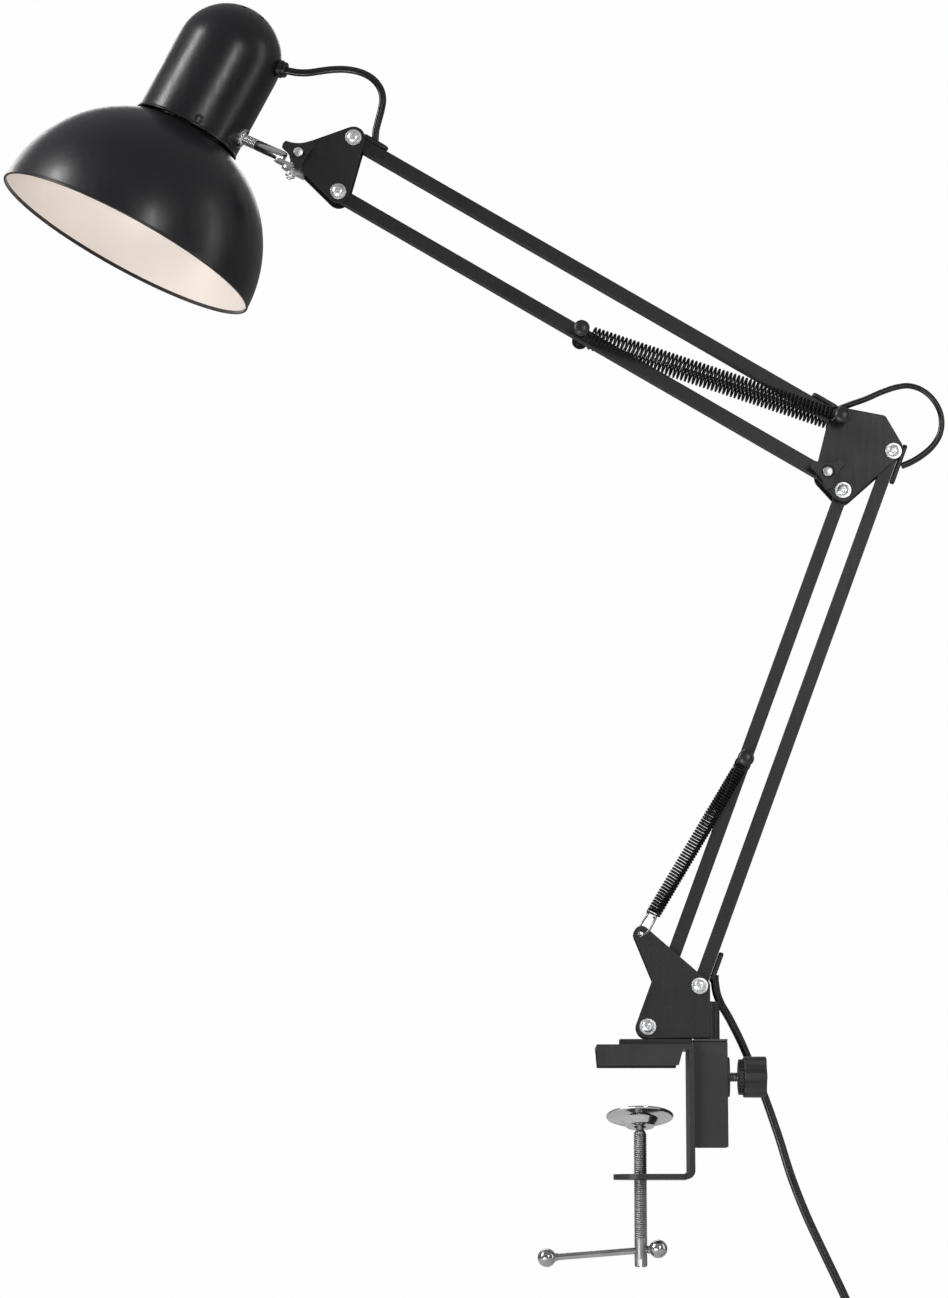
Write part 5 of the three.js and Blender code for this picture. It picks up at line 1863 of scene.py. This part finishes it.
@dataclass
class Head:
    """The yoke, the rod and its seat, the cap, the shade and the lampholder."""

    tools: Toolbox
    reach: float = 73.5  # from the swing axis to the shade's axis
    cap_base: float = -12
    cap_radius: float = 34
    cap_straight: float = 55
    rim: float = -91.5
    shade_radius: float = 85
    shade_hole: float = 21
    gland_tilt: float = 12
    vent_tilt: float = 29
    vent_radius: float = 1.7

    @property
    def axis(self) -> Matrix:
        """The frame of the cap and the shade."""
        return HEAD @ Matrix.Translation(at(-self.reach, 0, 0))

    def build(self) -> None:
        """Makes the head's pieces."""
        self.knuckle()
        self.rod()
        self.cap()
        self.cap_screws()
        self.shade()
        self.holder()
        self.gland()

    def knuckle(self) -> None:
        """The stamped yoke and the screw on which the rod swings."""
        rounded_copy("yoke", 0.25, ZINC).ride(Body.YOKE, Slot.ZINC, "yoke")
        profile = [
            (0, -11.5), (1.2, -11.5), (1.6, -11.1), (1.6, -10), (3.0, -10), (3.2, -9.7), (3.2, -7.5), (3.0, -7.2),
            (1.6, -7.2), (1.6, -1.9), (2.9, -1.9), (3.0, -1.6), (3.0, -0.7), (2.4, -0.3), (0, -0.1),
        ]
        screw = turned("yoke_screw_shaped", profile, YOKE, 36).smooth()
        ridge = self.tools.thread("ridge", 1.75, 0.7, 1.4, YOKE @ Matrix.Translation(at(0, 0, -11.5)), ZINC)
        screw.join(ridge).dress(ZINC).ride(Body.YOKE, Slot.ZINC, "yoke_screw")

    def rod(self) -> None:
        """The rod, its flattened eye, and the dished seat with its two screws on the cap."""
        face = self.cap_radius - self.reach
        along = HEAD @ placed(at(0, 0, 0), X_AXIS, Y_AXIS)
        radius, root = 3.5, 3.15
        profile = [
            (0, face + 1.2), (2.6, face + 1.2), (2.6, face + 2), (root, face + 2.1), (root, face + 11),
            (radius, face + 11.6),
            (radius, -9.4), (radius - 0.5, -8.5), (0, -8.5),
        ]
        rod = turned("link_rod_shaped", profile, along, 48).smooth()
        ridge_place = along @ Matrix.Translation(at(0, 0, face + 2.6))
        rod.join(self.tools.thread("ridge", radius, 1.1, 8.0, ridge_place, CHROME))
        eye = slab("eye", belt([(0, 0, 3.7), (-11, 0, 3)]), -4.9, -2.2, HEAD)
        hole = turned("hole", [(0, -6), (1.9, -6), (1.9, 0), (0, 0)], HEAD, 32)
        rod.join(eye.cut(hole).soften(0.3)).dress(CHROME).ride(Body.LAMP_HEAD, Slot.CHROME, "link_rod")
        dish = [
            (0, face - 0.5), (6.2, face - 0.6), (6.4, face + 0.1), (6.2, face + 0.8), (5.4, face + 1.1),
            (4.4, face + 0.9),
            (3.9, face + 1.5), (2.8, face + 1.9), (0, face + 1.9),
        ]
        seat = turned("saddle_shaped", dish, along, 48).smooth(40)
        seat.dress(CHROME).ride(Body.LAMP_HEAD, Slot.CHROME, "saddle")
        for index, offset in enumerate((-4.9, 4.9)):
            place = along @ Matrix.Translation(at(offset * 0.35, offset, face + 0.9))
            head = [(0, -0.5), (1.25, -0.5), (1.25, 0.35), (0.9, 0.75), (0, 0.85)]
            screw = turned(f"saddle_screw_{index + 1}", head, place, 24).smooth()
            screw.dress(STUD_BLACK).ride(Body.LAMP_HEAD, Slot.STUD)

    def cap(self) -> None:
        """The domed cover with a bead at its base and a ring of vents round its crown."""
        z, r, wall = self.cap_base, self.cap_radius, 1.0
        top = z + self.cap_straight
        bead = [
            (r - wall, z), (r + 0.3, z), (r + 0.65, z + 0.3), (r + 0.65, z + 1.1), (r + 0.3, z + 1.6), (r, z + 1.8),
        ]
        outside = sampled_arc(r, 0, 90, 20, top)
        inside = sampled_arc(r - wall, 90, 0, 14, top)
        cover = turned("cap_shaped", [*bead, *outside, *inside, bead[0]], Matrix.Identity(4), 112)
        tilt = math.radians(self.vent_tilt)
        values = {
            "Count": 8,
            "Hole Radius": self.vent_radius * MM,
            "Depth": 6 * MM,
            "Ring Radius": (r - 0.5) * math.sin(tilt) * MM,
            "Ring Height": (top + (r - 0.5) * math.cos(tilt)) * MM,
            "Tilt": tilt,
        }
        cover = self.tools.vents.make("cap_shaped", values, CAP_BLACK, cover)
        cover.moved(self.axis).smooth(35).dress(CAP_BLACK).ride(Body.LAMP_HEAD, Slot.CAP, "cap")

    def cap_screws(self) -> None:
        """Two small recessed screws near the cap's base."""
        for index, degrees in enumerate((-64, 116)):
            angle = math.radians(degrees)
            out = Vector((math.cos(angle), math.sin(angle), 0))
            place = self.axis @ placed(out * (self.cap_radius - 0.6) * MM + at(0, 0, self.cap_base + 4.6), out, Z_AXIS)
            rim = [(1.5, 0), (2.9, 0), (2.9, 0.85), (2.5, 1.0), (2.2, 0.7), (1.5, 0.2), (1.5, 0)]
            collar = turned(f"cap_screw_{index + 1}", rim, place, 32).smooth()
            head = turned("head", [(0, 0), (2.0, 0), (2.0, 0.5), (1.3, 0.85), (0, 0.95)], place, 28)
            for turn in (0.4, 0.4 + math.pi / 2):
                head.cut(slab("recess", box_outline(1.1, 0.28), 0.45, 2, place @ Matrix.Rotation(turn, 4, "Z")))
            collar.join(head.smooth()).dress(STUD_BLACK).ride(Body.LAMP_HEAD, Slot.STUD)

    def shade(self) -> None:
        """The spun reflector: lacquer outside, white enamel inside, a rolled rim."""
        z, r, wall, roll = self.rim, self.shade_radius, 1.0, 0.75
        angle_out = math.degrees(math.acos(self.shade_hole / r))
        angle_in = math.degrees(math.acos(self.shade_hole / (r - wall)))
        outside = sampled_arc(r, 1, angle_out, 40, z)
        inside = sampled_arc(r - wall, angle_in, 1, 40, z)
        bead = [
            (r - 0.5 + roll * math.cos(math.radians(a)), z + roll * math.sin(math.radians(a)))
            for a in range(-140, 41, 30)
        ]
        profile = [*outside, *inside, *bead, outside[0]]
        zones = [0] * (len(outside) - 1) + [1] * len(inside) + [0] * (len(profile) - len(outside) - len(inside))
        piece = turned("shade_shaped", profile, self.axis, 160, zones)
        piece.smooth(40).dress(SHADE_BLACK, SHADE_WHITE).ride(Body.LAMP_HEAD, Slot.SHADE, "shade")

    def holder(self) -> None:
        """The lampholder, its brass shell and the ring nut under the shade."""
        seat = self.cap_base + 2
        body = [
            (14.2, seat - 24), (16.6, seat - 24), (17, seat - 23.6), (17.6, seat - 16), (19, seat - 6),
            (20.4, seat - 5.6),
            (20.4, seat + 1), (19.4, seat + 30), (10, seat + 36), (0, seat + 36), (0, seat + 12), (14.2, seat + 12),
            (14.2, seat - 24),
        ]
        turned("lampholder_shaped", body, self.axis, 64).smooth().dress(CERAMIC).ride(
            Body.LAMP_HEAD, Slot.CERAMIC, "lampholder"
        )
        shell = [
            (13.4, seat - 12), (13.9, seat - 12), (13.9, seat + 11.4), (13.4, seat + 11.4), (13.4, seat - 12),
        ]
        brass = turned("contact_shell_shaped", shell, self.axis, 56).smooth()
        ridge_place = self.axis @ Matrix.Translation(at(0, 0, seat - 10))
        brass.join(self.tools.helix("ridge", 5.5, 13.3, 20, 0.55, ridge_place, BRASS, 40, 6))
        brass.dress(BRASS).ride(Body.LAMP_HEAD, Slot.BRASS, "contact_shell")
        height = self.rim + math.sqrt((self.shade_radius - 1) ** 2 - 26**2)
        bottom, top = height - 6, height - 1.2
        ring = [(21, bottom), (24.6, bottom), (25, bottom + 0.4), (25, top), (21, top), (21, bottom)]
        nut = turned("shade_ring_shaped", ring, self.axis, 64).smooth()
        ribs = {"Count": 24, "Ring Radius": 25.1 * MM, "Tooth": (0.9 * MM, 2.6 * MM, 3.6 * MM)}
        teeth = self.tools.teeth.make("ribs", ribs, BLACK_PLASTIC)
        nut.join(teeth.moved(self.axis @ Matrix.Translation(at(0, 0, height - 3.5))))
        nut.dress(BLACK_PLASTIC).ride(Body.LAMP_HEAD, Slot.PLASTIC, "shade_ring")

    def gland(self) -> None:
        """The cord's stepped collar, square to the cap's dome."""
        tilt, face = math.radians(self.gland_tilt), self.cap_radius + 0.3
        centre = at(0, 0, self.cap_base + self.cap_straight)
        place = self.axis @ placed(centre, Vector((math.cos(tilt), 0, math.sin(tilt))), Z_AXIS)
        profile = [
            (0, face - 3), (2.5, face - 3), (2.5, face - 0.6), (5.3, face - 0.6), (5.6, face - 0.2), (5.6, face + 2.1),
            (5.3, face + 2.4), (4.6, face + 2.5), (4.6, face + 3.1), (4.9, face + 3.3), (4.9, face + 4.4),
            (4.4, face + 5),
            (0, face + 5),
        ]
        turned("cord_gland_shaped", profile, place, 40).smooth().dress(BLACK_PLASTIC).ride(
            Body.LAMP_HEAD, Slot.PLASTIC, "cord_gland"
        )


# ---------------------------------------------------------------- the lamp


def main() -> None:
    """Builds the studio, the cords and the lamp's sub-assemblies."""
    logging.basicConfig(level=logging.INFO, format="%(name)s: %(message)s")
    Studio().build()
    tools = Toolbox()
    lead_parts = LeadParts()
    Cords().build([*lead_parts.switch(), lead_parts.tie(), *lead_parts.plug()])
    fasteners = Fasteners(tools)
    Frame(fasteners).build()
    Springs(tools).build()
    Clamp(tools).build()
    Head(tools).build()


if __name__ == "__main__":
    main()
